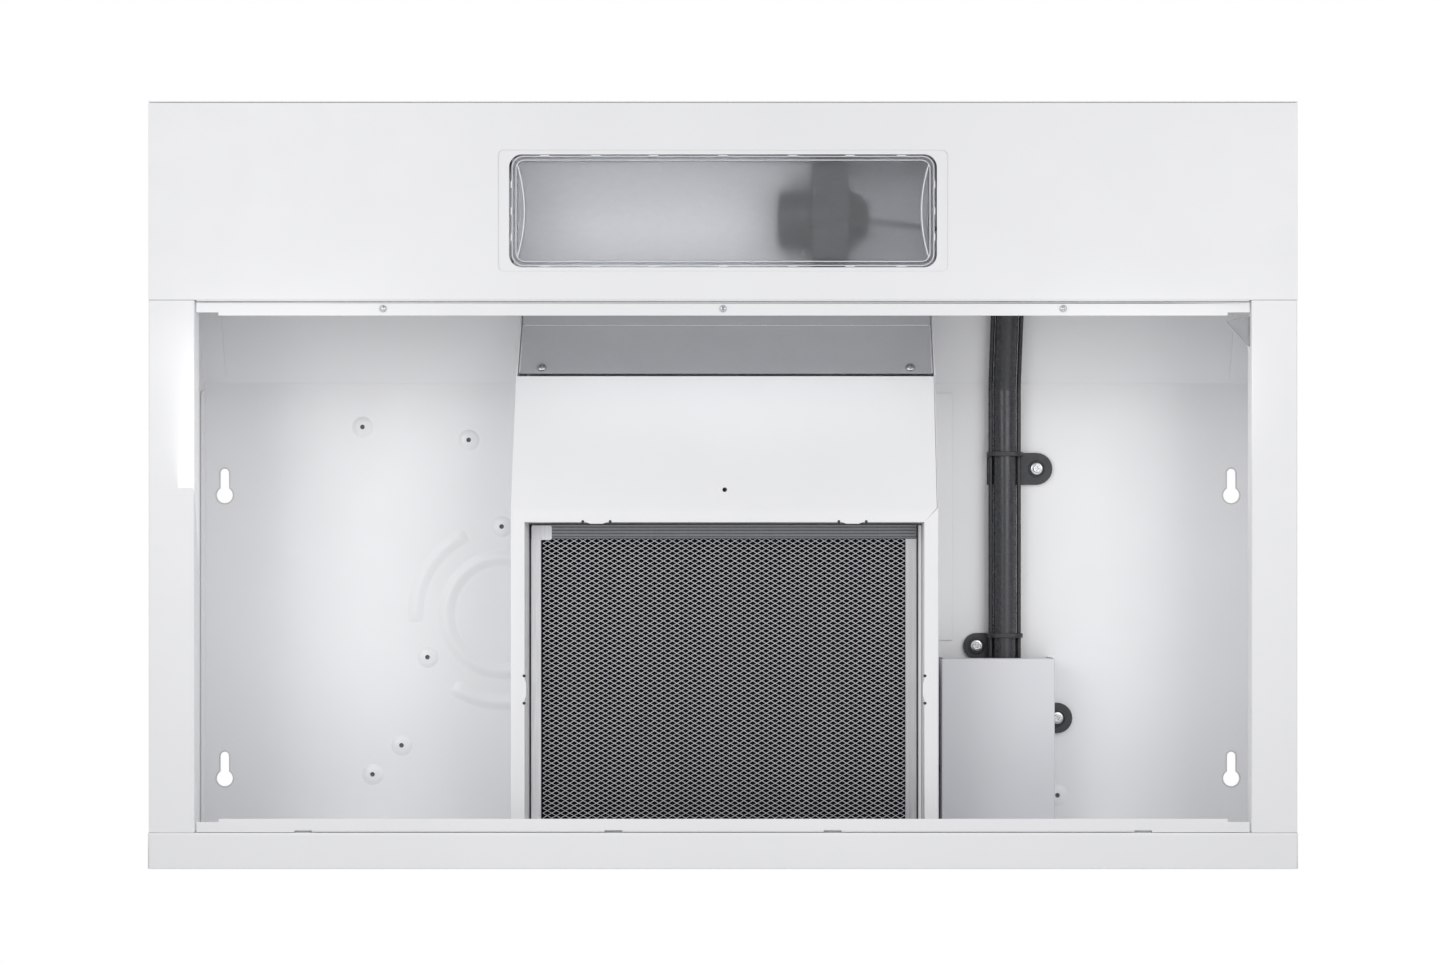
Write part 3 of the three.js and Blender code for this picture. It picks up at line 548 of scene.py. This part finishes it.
def grid_sheet(rows, thickness):
    """Two skins over a grid of points, a sheet's thickness apart."""
    bm = bmesh.new()
    for lift in (0, -thickness):
        verts = [[bm.verts.new((x * MM, y * MM, (z + lift) * MM)) for x, y, z in row] for row in rows]
        for a, b in zip(verts, verts[1:]):
            for j in range(len(a) - 1):
                face = (a[j], a[j + 1], b[j + 1], b[j])
                bm.faces.new(face if lift < 0 else face[::-1])
    mesh = bpy.data.meshes.new("arc")
    bm.to_mesh(mesh)
    bm.free()
    return soften(mesh, 60)


def ring_loops():
    steps = 10
    loops = []
    for k in range(steps + 1):
        r = RING["outer"] + (RING["inner"] - RING["outer"]) * k / steps
        z = -RELIEF * math.sin(math.pi * k / steps) ** 1.5
        loops.append([(x, y, z) for x, y in circle(RING["x"], RING["y"], r, RING_POINTS)])
    return loops


def dimple_sheet(x, y):
    loops = [[(px, py, dz) for px, py in circle(x, y, r, 24)] for r, dz in DIMPLE]
    return two_skins(loops)


def two_skins(loops):
    """A pressed sheet: the loops bridged, on its lower and its upper face."""
    skins = []
    for lift in (0, -SHEET):
        skins.append([[(x, y, z + lift) for x, y, z in loop] for loop in loops])
    upper, lower = skins
    return loop_shell(upper + lower[::-1])


def ceiling_plate():
    outlines = [rectangle(-HALF, HALF, FOLD + BEND_START, BACK)]
    outlines += [keyhole(x, y) for x in (-KEYHOLE["x"], KEYHOLE["x"]) for y in KEYHOLE["ys"]]
    outlines += [circle(x, y, DIMPLE[0][0], 24) for x, y in DIMPLES]
    outlines += [arc_outline(middle) for middle in ARC_MIDDLES]
    outlines.append(circle(RING["x"], RING["y"], RING["outer"], RING_POINTS))
    for node in CLAMP_SCREWS:
        centre = centre_mm(node)
        outlines.append(circle(centre.x, centre.y, CLAMP_HOLE, 16))
    low, high = box_mm("top_knockout")
    centre = centre_mm("top_knockout")
    outlines.append(circle(centre.x, centre.y, (high.x - low.x) / 2 + 0.3, 40))
    return moved(sheet_plate(outlines, SHEET, 0), z=-SHEET)


def louvre(x):
    """One slot of the outlet, in the slope's own plane: rounded at both ends."""
    half, length = LOUVRES["half"], LOUVRES["length"] / 2
    middle = -(FOLD - LOUVRES["y"]) / math.cos(SLOPE)
    return rectangle(x - half, x + half, middle - length, middle + length, half - 0.01)


def slope_plate():
    count, pitch = LOUVRES["count"], LOUVRES["pitch"]
    outlines = [rectangle(-HALF, HALF, -SLOPE_LENGTH, -BEND_START)]
    outlines += [louvre((i - (count - 1) / 2) * pitch) for i in range(count)]
    sheet = moved(sheet_plate(outlines, SHEET, 0.2), z=-SHEET)
    return moved(sheet, y=FOLD, turn=Matrix.Rotation(SLOPE, 4, "X"))


def fold_strip():
    """The round bend between the flat top and the slope."""
    steps = 8
    rows = []
    for radius in (BEND_RADIUS, BEND_RADIUS - SHEET):
        rows.append([(FOLD + BEND_START - radius * math.sin(SLOPE * i / steps),
                      -BEND_RADIUS + radius * math.cos(SLOPE * i / steps)) for i in range(steps + 1)])
    outline = rows[0] + rows[1][::-1]
    return loop_shell([[(x, y, z) for y, z in outline] for x in (-HALF, HALF)])


def top_flange(side):
    """The flange folded down from the top along a side panel's inner face."""
    x = side * (HALF - SHEET - 0.3 - SHEET / 2)
    low, high = FOLD + 6, BACK - 6
    upright = Matrix(((0, 0, 1, 0), (1, 0, 0, 0), (0, 1, 0, 0), (0, 0, 0, 1)))
    return moved(sheet_plate([rectangle(low, high, -12, -0.4, 3)], SHEET, 0.2), x=x - SHEET / 2,
                 turn=upright)


def top_panel():
    ring_floor = circle(RING["x"], RING["y"], RING["inner"], RING_POINTS)
    parts = [ceiling_plate(), slope_plate(), fold_strip(), two_skins(ring_loops())]
    parts += [moved(sheet_plate([ring_floor], SHEET, 0), z=-SHEET)]
    parts += [grid_sheet(arc_grid(middle), SHEET) for middle in ARC_MIDDLES]
    parts += [dimple_sheet(x, y) for x, y in DIMPLES]
    parts += [top_flange(side) for side in (-1, 1)]
    add_piece("top_sheet", merged(parts), "hood", "white_enamel", "top_panel")


# ------------------------------------------------------- folded sheet metal

SHEET_PIECES = ("left_side_panel", "right_side_panel", "back_panel", "front_fascia", "light_pan",
                "blower_housing", "filter_throat", "fan_deck", "outlet_duct", "motor_bracket",
                "lamp_reflector", "socket_bracket", "wiring_box_cover", "corner_gusset",
                "top_knockout", "rear_knockout", "front_rail", "rear_rail")
# The corner gusset gets a darker zinc: painted shade.
PAINTED_SHADE_PIECES = {"corner_gusset": "gusset_painted_shade"}
SHEET_EDGE = 0.22
SHEET_BEND = 1.2
PAN_BEND = 0.35
MOULDED_EDGE = 0.35
MOULDED_BEND = 0.6
HEM = 0.6
CHEEK_FRONT = -263.5      # where the hems along the cheeks end in front
DUCT_FOOT = (-168, -62)   # (y, z) of the galvanised plate's rear edge
DUCT_KNEE = (-205, -40)   # (y, z) of its bend in front
DUCT_TILT = math.atan2(DUCT_KNEE[1] - DUCT_FOOT[1], DUCT_FOOT[0] - DUCT_KNEE[0])
DUCT_HALF = box_mm("outlet_duct")[1].x
DUCT_SCREW_UP = 4
RETAINER_FRONT_X = 87     # the front retainers' distance from the middle
RETAINER_SIDE_Y = 50      # where the retainers beside the filter are
RETAINER_END = 9.3        # from a retainer's middle to the ends of its slits
MOULDED_PIECES = ("light_switch_body", "fan_switch_body", "light_rocker", "fan_rocker", "fan_motor",
                  "lamp_socket", "cable_clamp_1", "cable_clamp_2", "cable_clamp_3", "fan_blade",
                  "motor_shaft", "blade_nut", "wire_nut_1", "wire_nut_2", "wire_nut_3", "filter_pad")


def air_way_hem():
    """The rolled hem along both sides and the bend of the air way's galvanised floor."""
    corner = 1.4
    below = 0.9
    half = DUCT_HALF - 0.5
    foot = (DUCT_FOOT[0] - 0.6, DUCT_FOOT[1] - below)
    knee = (DUCT_KNEE[0] + 0.3, DUCT_KNEE[1] - below)
    tilt = (foot[1] - knee[1]) / (foot[0] - knee[0])
    right = [(half, *foot)]
    for i in range(5):
        x, rise = on_circle(half - corner, 0, corner, math.pi / 8 * i)
        dy = corner - rise
        right.append((x, knee[0] + dy, knee[1] + dy * tilt))
    left = [(-x, y, z) for x, y, z in right[::-1]]
    # Painted in the light rail metal instead of zinc: painted highlight along the hem.
    add_piece("air_way_hem", rod(right + left, HEM), "hood", "galvanised_steel", paint="rail_painted_highlight")


def cheek_hems():
    """The rolled hems along the white cheeks on both sides of the air way."""
    below = 2.4
    for name, side in (("cheek_hem_left", -1), ("cheek_hem_right", 1)):
        x = side * (DUCT_HALF + 0.9)
        route = [(x, DUCT_FOOT[0] + 1.5, DUCT_FOOT[1] - 3 - below),
                 (x, DUCT_KNEE[0], DUCT_KNEE[1] - below),
                 (x, CHEEK_FRONT, DUCT_KNEE[1] - below)]
        add_piece(name, rod(route, HEM), "hood", "white_enamel")


def keyhole_shade_rims():
    """A thin raised ring round each mounting hole, painted grey: a painted shade line along its edge.
    """
    rims = [rod([(px, py, -SHEET + 0.1) for px, py in keyhole(x, y)], 0.55, True)
            for x in (-KEYHOLE["x"], KEYHOLE["x"]) for y in KEYHOLE["ys"]]
    # Grey box enamel on the white sheet: painted shade round the holes.
    add_piece("keyhole_shade_rims", merged(rims), "hood", "white_enamel", paint="box_enamel")


def pan_beads():
    """The pressed bead round the light's window, and the hem that fills the pan's rear seam."""
    low, high = box_mm("light_lens")
    pan_low, pan_high = box_mm("light_pan")
    margin_x, margin_y = 11, 6
    outline = rectangle(low.x - margin_x, high.x + margin_x, low.y - margin_y, high.y + margin_y, 4, 8)
    bead = rod([(x, y, pan_low.z + 0.12) for x, y in outline], 0.3, True)
    inset, seam = 32, 0.45
    hem = rod([(x, pan_high.y + seam, pan_low.z + 0.8) for x in (-HALF + inset, HALF - inset)], seam)
    add_piece("pan_beads", merged([bead, hem]), "hood", "white_enamel")


def dimple_shade_plugs():
    """A dark grey plug in the middle of each dimple: painted shade for its small hole."""
    plug = ((0, -1.0), (0.6, -1.05), (1.25, -1.25), (1.8, -1.5), (1.8, -0.65), (0, -0.65))
    plugs = [moved(lathe(plug, 20), x, y) for x, y in DIMPLES]
    # Dark motor iron paint: painted shade in the dimples' holes.
    add_piece("dimple_shade_plugs", merged(plugs), "hood", "motor_iron")


def retainer_slit_shade():
    """Black dots at the ends of the slits that free each filter retainer from the housing's floor:
    painted shade in the slits.
    """
    low, high = box_mm("filter_throat")
    floor = box_mm("blower_housing")[0].z
    ends = (-RETAINER_END, RETAINER_END)
    places = [(x + end, low.y + 0.3) for x in (-RETAINER_FRONT_X, RETAINER_FRONT_X) for end in ends]
    places += [(x, RETAINER_SIDE_Y + end) for x in (low.x + 0.3, high.x - 0.3) for end in ends]
    dot = [(0, 0.12), (0.7, 0.1), (1.15, 0.25), (1.2, 0.6), (0, 0.6)]
    shade_dots = [moved(lathe(dot, 16), x, y, floor) for x, y in places]
    # Black paint: painted shade where the slits open.
    add_piece("retainer_slit_shade", merged(shade_dots), "hood", "black_plastic")


# ------------------------------------------------------------------- screws

THREAD_PITCH = 0.8
RAIL_SCREW = {"radius": 2.3, "height": 1.3, "shank": 1.2, "length": 7}
CLAMP_SCREW = {"radius": 4.3, "height": 2.6, "shank": 1.9, "length": 4.1}
GROUND_SCREW = {"radius": 4, "height": 2.2, "shank": 1.8, "length": 2}
DUCT_SCREW = {"radius": 3.2, "height": 1.8, "shank": 1.3, "length": 6}
# How far each screw's drive is turned, in degrees
RAIL_SCREW_TURNS = {"rail_screw_left": 20, "rail_screw_centre": 65, "rail_screw_right": 40}
CLAMP_SCREW_TURNS = dict(zip(CLAMP_SCREWS, (12, 50, 75)))
DUCT_SCREW_TURNS = {"outlet_screw_left": 15, "outlet_screw_right": 60}
CLAMP_TAB = 4.1           # from the top's outer face down to the face of a clamp's tab
CLAMP_RING = ((4.9, 0.2), (5.0, -0.5), (5.4, -0.75), (6.0, -0.6), (6.3, 0.2))


def cross_cutter(radius, height):
    """A tapered cross, point up, that cuts a screw's drive recess."""
    bm = bmesh.new()
    wide, thin = radius * 0.62, radius * 0.17
    outline = rectangle(-wide, wide, -thin, thin)
    for turn in (0, math.pi / 2):
        spin = Matrix.Rotation(turn, 4, "Z")
        low = [bm.verts.new(spin @ Vector((x * MM, y * MM, -height * 1.3 * MM))) for x, y in outline]
        high = [bm.verts.new(spin @ Vector((x * 0.45 * MM, y * 0.7 * MM, -height * 0.25 * MM)))
                for x, y in outline]
        bm.faces.new(low)
        bm.faces.new(high[::-1])
        for i in range(4):
            j = (i + 1) % 4
            bm.faces.new((low[j], low[i], high[i], high[j]))
    return from_bmesh(bm, "cross")


def thread_profile(shank, length):
    """The threaded shank's outline, from the head's underside to the point."""
    thread = [(shank, 0)]
    for i in range(int((length - 1) / THREAD_PITCH)):
        thread += [(shank * 0.8, 0.2 + THREAD_PITCH * i), (shank, 0.6 + THREAD_PITCH * i)]
    return thread + [(shank * 0.6, length - 0.5), (0, length)]


def with_recess(body, radius, height):
    """The head with its cross recess cut."""
    obj = collection_link(bpy.data.objects.new("screw", body))
    tool = collection_link(bpy.data.objects.new("cutter", cross_cutter(radius, height)))
    cut = obj.modifiers.new("recess", "BOOLEAN")
    cut.operation = "DIFFERENCE"
    cut.solver = "EXACT"
    cut.use_self = True
    cut.object = tool
    mesh = baked(obj)
    bpy.data.objects.remove(tool)
    return soften(mesh, 38)


def pan_screw(radius, height, shank, length):
    """A domed screw, head below and point up, with a cross recess."""
    head = [(0, -height), (radius * 0.45, -height * 0.98), (radius * 0.75, -height * 0.84),
            (radius * 0.93, -height * 0.55), (radius, -height * 0.2), (radius * 0.97, 0)]
    return with_recess(lathe(head + thread_profile(shank, length), 28), radius, height)


def hex_screw(radius, height, shank, length):
    """A hexagon on a washer face, with a cross recess."""
    washer = [(0, -0.9), (radius * 0.8, -0.9), (radius * 0.97, -0.6),
              (radius, -0.25), (radius * 0.97, 0)]
    corner = radius * 0.74
    hexagon = [(0, -height), (corner * 0.86, -height), (corner, -height + 0.35),
               (corner, -0.8), (0, -0.8)]
    return merged([lathe(washer + thread_profile(shank, length), 28),
                   with_recess(lathe(hexagon, 6), corner, height)])


def place_screw(node, make, sizes, turn):
    """A finished screw in a CAD screw's place, its drive turned at an angle of its own."""
    centre = centre_mm(node)
    head_seat = box_mm(node)[0].z + sizes["height"]
    spin = Matrix.Rotation(math.radians(turn), 4, "Z")
    mesh = moved(make(**sizes), centre.x, centre.y, head_seat, spin)
    add_piece("fine_" + node, mesh, "hood", "zinc_screw", node)


def upright_screws():
    for node, turn in RAIL_SCREW_TURNS.items():
        place_screw(node, pan_screw, RAIL_SCREW, turn)
    for node, turn in CLAMP_SCREW_TURNS.items():
        place_screw(node, hex_screw, CLAMP_SCREW, turn)
    place_screw("ground_screw", pan_screw, GROUND_SCREW, 30)


def outlet_screws():
    """The two screws in the air way's sloping floor, square to it."""
    depth = SHEET + 0.3
    y = DUCT_FOOT[0] - DUCT_SCREW_UP - depth * math.sin(DUCT_TILT)
    z = DUCT_FOOT[1] + DUCT_SCREW_UP * math.tan(DUCT_TILT) - depth * math.cos(DUCT_TILT)
    for node, turn in DUCT_SCREW_TURNS.items():
        spin = Matrix.Rotation(-DUCT_TILT, 4, "X") @ Matrix.Rotation(math.radians(turn), 4, "Z")
        mesh = moved(pan_screw(**DUCT_SCREW), centre_mm(node).x, y, z, spin)
        add_piece("fine_" + node, mesh, "hood", "zinc_screw", node)


def clamp_rings():
    """The raised ring moulded round the screw in each cable clamp's tab."""
    centres = [centre_mm(node) for node in CLAMP_SCREWS]
    tab_face = TOP_HIGH.z - CLAMP_TAB
    rings = [moved(lathe(CLAMP_RING, 36), place.x, place.y, tab_face) for place in centres]
    add_piece("clamp_rings", merged(rings), "hood", "black_plastic")


# ---------------------------------------------------------------- the filter

MESH = {"long": 6.18, "short": 3.455, "width": 0.46, "thick": 0.26, "lean": 24}
FRAME_LEFT = 6.8          # breadths of the filter's rails
FRAME_RIGHT = 8
FRAME_END = 10
RAIL_CHAMFER = 0.5


def strand(bm, start, end, lean):
    """One slim strand between two knots: a flattened bar, leaning to one side."""
    along = (end - start).normalized()
    across = Vector((-along.y, along.x, 0))
    up = Vector((0, 0, 1))
    side = across * math.cos(lean) + up * math.sin(lean)
    flat = up * math.cos(lean) - across * math.sin(lean)
    half, thick = MESH["width"] / 2 * MM, MESH["thick"] / 2 * MM
    corners = (side * half, flat * thick, -side * half, -flat * thick)
    rings = [[bm.verts.new(point + corner) for corner in corners] for point in (start, end)]
    for i in range(4):
        j = (i + 1) % 4
        bm.faces.new((rings[0][i], rings[0][j], rings[1][j], rings[1][i]))


def expanded_mesh(x0, x1, y0, y1, z):
    """Expanded aluminium: knots on a staggered lattice, a strand to each neighbour behind."""
    bm = bmesh.new()
    step_x, step_y = MESH["long"] / 2, MESH["short"] / 2
    columns, rows = int((x1 - x0) / step_x), int((y1 - y0) / step_y)
    lean = math.radians(MESH["lean"])
    for j in range(rows):
        for i in range(j % 2, columns + 1, 2):
            knot = Vector((x0 + i * step_x, y0 + j * step_y, z)) * MM
            for side in (-1, 1):
                if 0 <= i + side <= columns:
                    other = knot + Vector((side * step_x, step_y, 0)) * MM
                    strand(bm, knot, other, lean * side)
    mesh = bpy.data.meshes.new("expanded")
    bm.to_mesh(mesh)
    bm.free()
    return mesh


def groove_bar(length, width, height, grooves):
    """A rolled edge strip along X: fine lengthwise grooves below, chamfered edges."""
    outline = [(0, height), (0, RAIL_CHAMFER)]
    steps = max(grooves * 4, 1)
    for i in range(steps + 1):
        y = RAIL_CHAMFER + (width - 2 * RAIL_CHAMFER) * i / steps
        in_groove = i % 4 == 2
        outline.append((y, 0.35 if in_groove else 0))
    outline += [(width, RAIL_CHAMFER), (width, height)]
    return loop_shell([[(x, y, z) for y, z in outline] for x in (0, length)])


def filter_frame():
    """Four rolled rails, and a corner plate at each end of the left one. Front and back rails are
    painted dark as painted shade; the left rail and the plates light as painted highlight; the right
    rail mid grey as milder painted shade.
    """
    low, high = box_mm("filter_frame")
    across, along = high.x - low.x - 1, high.y - low.y - 2 * FRAME_END
    # Front and back rails painted dark (painted shade), left rail light (painted highlight), right
    # rail mid grey (painted shade).
    rails = (("front", FRAME_END, across, 4, 0, (low.x + 0.5, low.y), "channel_painted_shade"),
             ("back", FRAME_END, across, 4, 180, (high.x - 0.5, high.y), "channel_painted_shade"),
             ("left", FRAME_LEFT, along, 0, -90, (low.x, high.y - FRAME_END), "rail_painted_highlight"),
             ("right", FRAME_RIGHT, along, 1, 90, (high.x, low.y + FRAME_END), "rail_painted_half_shade"))
    for name, breadth, length, grooves, turn, (x, y), paint in rails:
        strip = groove_bar(length, breadth, high.z - low.z, grooves)
        spin = Matrix.Rotation(math.radians(turn), 4, "Z")
        nodes = ("filter_frame",) if name == "front" else ()
        add_piece("filter_rail_" + name, moved(strip, x, y, low.z, spin), "filter", "aluminium",
                  *nodes, paint=paint)
    plate = rectangle(0, 14, 0, FRAME_END, 1.2)
    plates = [moved(sheet_plate([plate], 0.5, 0.12), low.x + 0.3, y, low.z - 0.2)
              for y in (low.y + 0.8, high.y - FRAME_END - 0.8)]
    # The corner plates are painted light: painted highlight at the left rail's ends.
    add_piece("filter_corner_plates", merged(plates), "filter", "aluminium", paint="rail_painted_highlight")


def throat_guide():
    """The white strip beside the filter that keeps it to the left of its throat."""
    frame_low, frame_high = box_mm("filter_frame")
    low, high = box_mm("filter_throat")
    outline = rectangle(frame_high.x + 0.9, high.x - 1.2, low.y + 2, high.y - 2)
    strip = moved(sheet_plate([outline], SHEET, 0.2), z=frame_low.z - 1.5)
    add_piece("throat_guide", strip, "hood", "white_enamel")


def filter_screens():
    """The expanded aluminium below and above the pad, from rail to rail."""
    left, right = (corner.x for corner in box_mm("filter_frame"))
    for node in ("filter_mesh_lower", "filter_mesh_upper"):
        low, high = box_mm(node)
        mesh = expanded_mesh(left + FRAME_LEFT + 1.2, right - FRAME_RIGHT + 0.3, low.y + 1, high.y - 1,
                             (low.z + high.z) / 2)
        add_piece("fine_" + node, mesh, "filter", "aluminium", node, paint="mesh_metal")


# ------------------------------------------------------------------ the light

LENS_LOW, LENS_HIGH = box_mm("light_lens")
LENS_MIDDLE = (LENS_LOW.y + LENS_HIGH.y) / 2
LENS_FLANGE = 2.6
LENS_WALL = 1.3
LENS_RIM = 1.8
BOW_HALF = 31
BOW_BELLY = 4.9
CLIP_XS = (-118, -84, -46, 0, 46, 84, 118)


def lens_ring(inset, lift, radius):
    """A rounded rectangle round the lens, inset from its side walls, above its lowest face."""
    outline = rectangle(LENS_LOW.x + inset, LENS_HIGH.x - inset,
                        LENS_LOW.y + inset, LENS_HIGH.y - inset, radius, 8)
    return [(x, y, LENS_LOW.z + lift) for x, y in outline]


def lens_dish():
    """The frosted cover: a flange round it, a rounded rim, a shallow step and a flat face."""
    height = LENS_HIGH.z - LENS_LOW.z
    loops = [lens_ring(0.9, height, 5.4), lens_ring(0.3, 2.6, 6),
             lens_ring(-LENS_FLANGE, 2.4, 8.4), lens_ring(-LENS_FLANGE, 1.2, 8.4),
             lens_ring(-0.4, 1.0, 6.4)]
    for i in range(1, 7):
        a = math.pi * i / 6
        inset = LENS_RIM * (1 - math.cos(a)) / 2
        loops.append(lens_ring(inset, 0.9 - 0.85 * math.sin(a), 6 - inset))
    loops.append(lens_ring(4.6, 0.75, 3.8))
    obj = collection_link(bpy.data.objects.new("dish", loop_shell(loops, True)))
    wall = obj.modifiers.new("wall", "SOLIDIFY")
    wall.thickness = LENS_WALL * MM
    wall.offset = -1
    add_piece("frosted_dish", soften(baked(obj), 40), "lens", "frosted_lens", "light_lens")
    beads = [rod(lens_ring(0.9, 0.35, 5.6), 0.33, True), rod(lens_ring(-1.7, 1.1, 7.6), 0.32, True)]
    # The beads are painted opaque white: painted highlight along the rim.
    add_piece("lens_beads", merged(beads), "lens", "frosted_lens", paint="lens_highlight_and_clip_white")


def lens_bow(side):
    """A raised bow across one end of the cover: the bulging skin and the ridge along it."""
    edge = LENS_HIGH.x if side > 0 else LENS_LOW.x
    rows = []
    ridge = []
    for i in range(25):
        t = i / 12 - 1
        belly = 1 - t * t
        y = LENS_MIDDLE + BOW_HALF * t
        outer = edge - side * 2.4
        inner = edge - side * (2.65 + BOW_BELLY * belly)
        row = []
        for j in range(9):
            u = j / 8
            lift = 0.6 - 0.55 * belly ** 0.5 * math.sin(math.pi * u ** 2.2)
            row.append((outer + (inner - outer) * u, y, LENS_LOW.z + lift))
        rows.append(row)
        ridge.append((inner + side * 1.1, y, LENS_LOW.z + 0.62 - 0.3 * belly ** 0.5))
    return grid_sheet(rows, -0.3), rod(ridge, 0.42)


def lens_bows():
    pairs = [lens_bow(side) for side in (-1, 1)]
    add_piece("lens_bow_skins", merged([skin for skin, _ in pairs]), "lens", "frosted_lens")
    # The ridges are painted opaque white: painted highlight along each bow.
    add_piece("lens_bow_ridges", merged([ridge for _, ridge in pairs]), "lens", "frosted_lens",
              paint="lens_highlight_and_clip_white")


def lens_clip(x, y, half_x, half_y):
    plate = sheet_plate([rectangle(-half_x, half_x, -half_y, half_y, 0.5)], 0.7, 0.2)
    return moved(plate, x, y, LENS_LOW.z + 0.35)


def lens_clips():
    """Small white spring clips in the gap round the cover."""
    gap = LENS_FLANGE - 0.5
    clips = []
    for y in (LENS_LOW.y - gap, LENS_HIGH.y + gap):
        clips += [lens_clip(x, y, 3.2, 0.55) for x in CLIP_XS]
    for x in (LENS_LOW.x - gap, LENS_HIGH.x + gap):
        clips += [lens_clip(x, y, 0.55, 2.6) for y in (LENS_LOW.y + 17, LENS_MIDDLE, LENS_HIGH.y - 17)]
    add_piece("lens_clips", merged(clips), "lens", "frosted_lens", paint="lens_highlight_and_clip_white")


def reflector_insert():
    """A white trough behind the cover; it stops short of the socket and of both ends."""
    low, high = box_mm("lamp_reflector")
    middle, half = (low.y + high.y) / 2, (high.y - low.y) / 2 - 2.2
    apex, mouth = high.z - 5, low.z + 10
    section = []
    for i in range(17):
        t = i / 8 - 1
        section.append((middle + half * t, apex - (apex - mouth) * t * t))
    ends = (low.x + 3, box_mm("socket_bracket")[0].x - 0.9)
    shell = grid_sheet([[(x, y, z) for y, z in section] for x in ends], 0.6)
    add_piece("reflector_trough", shell, "hood", "white_enamel", paint="reflector_white")


# ------------------------------------------------------------------ cables

HARNESS_X = 199.4
SLEEVE = 8.2              # radii
LEAD = 1.6
MOTOR_LEAD = 2.4


def under_slope(y, depth):
    """The (y, z) that lies a depth below the slope, square to it, at a place along it."""
    z = (y - FOLD) * math.tan(SLOPE)
    return y + depth * math.sin(SLOPE), z - depth * math.cos(SLOPE)


def harness_route(offset, depth, ending):
    """Forwards along the ceiling and down the slope, then on through the ending's points."""
    x = HARNESS_X + offset
    flat = [(x, y, -depth) for y in (95, 40, -60, -150, -163)]
    slope = [(x, *under_slope(y, depth)) for y in (-180, -205, -232, -244)]
    return flat + slope + ending


def cables():
    depth = 10.8
    aside = SLEEVE + 0.3 + LEAD
    sleeve = harness_route(0, depth, [])[:-1]
    add_piece("sleeve", tube(sleeve, SLEEVE), "hood", "black_plastic", "harness_sleeve",
              paint="sleeve_vinyl")
    lamp = [(180, -262, -62), (162, -264, -90), (150, -262, -104), (120, -264, -107),
            (97.7, -267.5, -108)]
    switch = [(222, -266, -62), (258, -288, -86), (290, -302, -96), (299.6, -303, -96)]
    motor = [(164, 110, -14), (130, 110, -14), (96, 100, -18), (68, 72, -24), (44.6, 52, -24)]
    wires = (("lamp", harness_route(-aside, depth, lamp), LEAD),
             ("switch", harness_route(aside, depth, switch), LEAD),
             ("motor", motor, MOTOR_LEAD))
    for name, route, radius in wires:
        add_piece(name + "_wire", tube(route, radius), "hood", "black_plastic", name + "_lead",
                  paint="wire_vinyl")


# --------------------------------------------------------------- build it all

top_panel()
for piece_name in SHEET_PIECES:
    piece_bend = PAN_BEND if piece_name == "light_pan" else SHEET_BEND
    refine(piece_name, SHEET_EDGE, piece_bend, PAINTED_SHADE_PIECES.get(piece_name))
for piece_name in MOULDED_PIECES:
    refine(piece_name, MOULDED_EDGE, MOULDED_BEND)
air_way_hem()
cheek_hems()
keyhole_shade_rims()
pan_beads()
dimple_shade_plugs()
retainer_slit_shade()
upright_screws()
outlet_screws()
clamp_rings()
filter_frame()
filter_screens()
throat_guide()
lens_dish()
lens_bows()
lens_clips()
reflector_insert()
cables()

# ------------------------------------------------------------ stage, light


def make_world():
    world = bpy.data.worlds.new("studio")
    bpy.context.scene.world = world
    world.use_nodes = True
    background = world.node_tree.nodes["Background"]
    background.inputs["Color"].default_value = (1, 1, 1, 1)
    background.inputs["Strength"].default_value = 1.0
    bpy.context.scene.view_settings.view_transform = "Standard"


def soft_box(name, place, target, size, power):
    data = bpy.data.lights.new(name, "AREA")
    data.shape = "RECTANGLE"
    data.size, data.size_y = size
    data.energy = power
    light = bpy.data.objects.new(name, data)
    light.location = place
    light.visible_camera = False
    aim = Vector(target) - Vector(place)
    light.rotation_euler = aim.to_track_quat("-Z", "Y").to_euler()
    bpy.context.scene.collection.objects.link(light)


def make_floor():
    mesh = bpy.data.meshes.new("floor")
    half = 6.0
    z = -1.75
    mesh.from_pydata([(-half, -half, z), (half, -half, z), (half, half, z), (-half, half, z)], [],
                     [(0, 1, 2, 3)])
    floor = bpy.data.objects.new("floor", mesh)
    paint = Paint("floor_paint", (0.5, 0.5, 0.5), 0.7)
    paint.tint(paint.noise(3, 2), 0.98, 1.0)
    mesh.materials.append(paint.material)
    bpy.context.scene.collection.objects.link(floor)


make_world()
make_floor()
soft_box("key_left", (-0.72, -0.45, -1.3), (-0.08, -0.12, -0.1), (0.8, 0.8), 4.6)
soft_box("key_right", (0.72, -0.45, -1.3), (0.08, -0.12, -0.1), (0.8, 0.8), 4.2)
soft_box("fill_light", (0, -0.02, -0.3), (0, -0.03, 0), (0.66, 0.27), 0.13)
soft_box("left_bay_light", (-0.285, -0.05, -0.132), (-0.285, -0.08, 0), (0.15, 0.28), 0.045)
soft_box("right_bay_light", (0.27, -0.05, -0.132), (0.27, -0.08, 0), (0.14, 0.28), 0.052)
soft_box("filter_light", (0, 0.048, -0.098), (0, 0.048, 0), (0.24, 0.19), 0.009)
soft_box("air_way_light", (0, -0.182, -0.13), (0, -0.182, 0), (0.26, 0.03), 0.017)
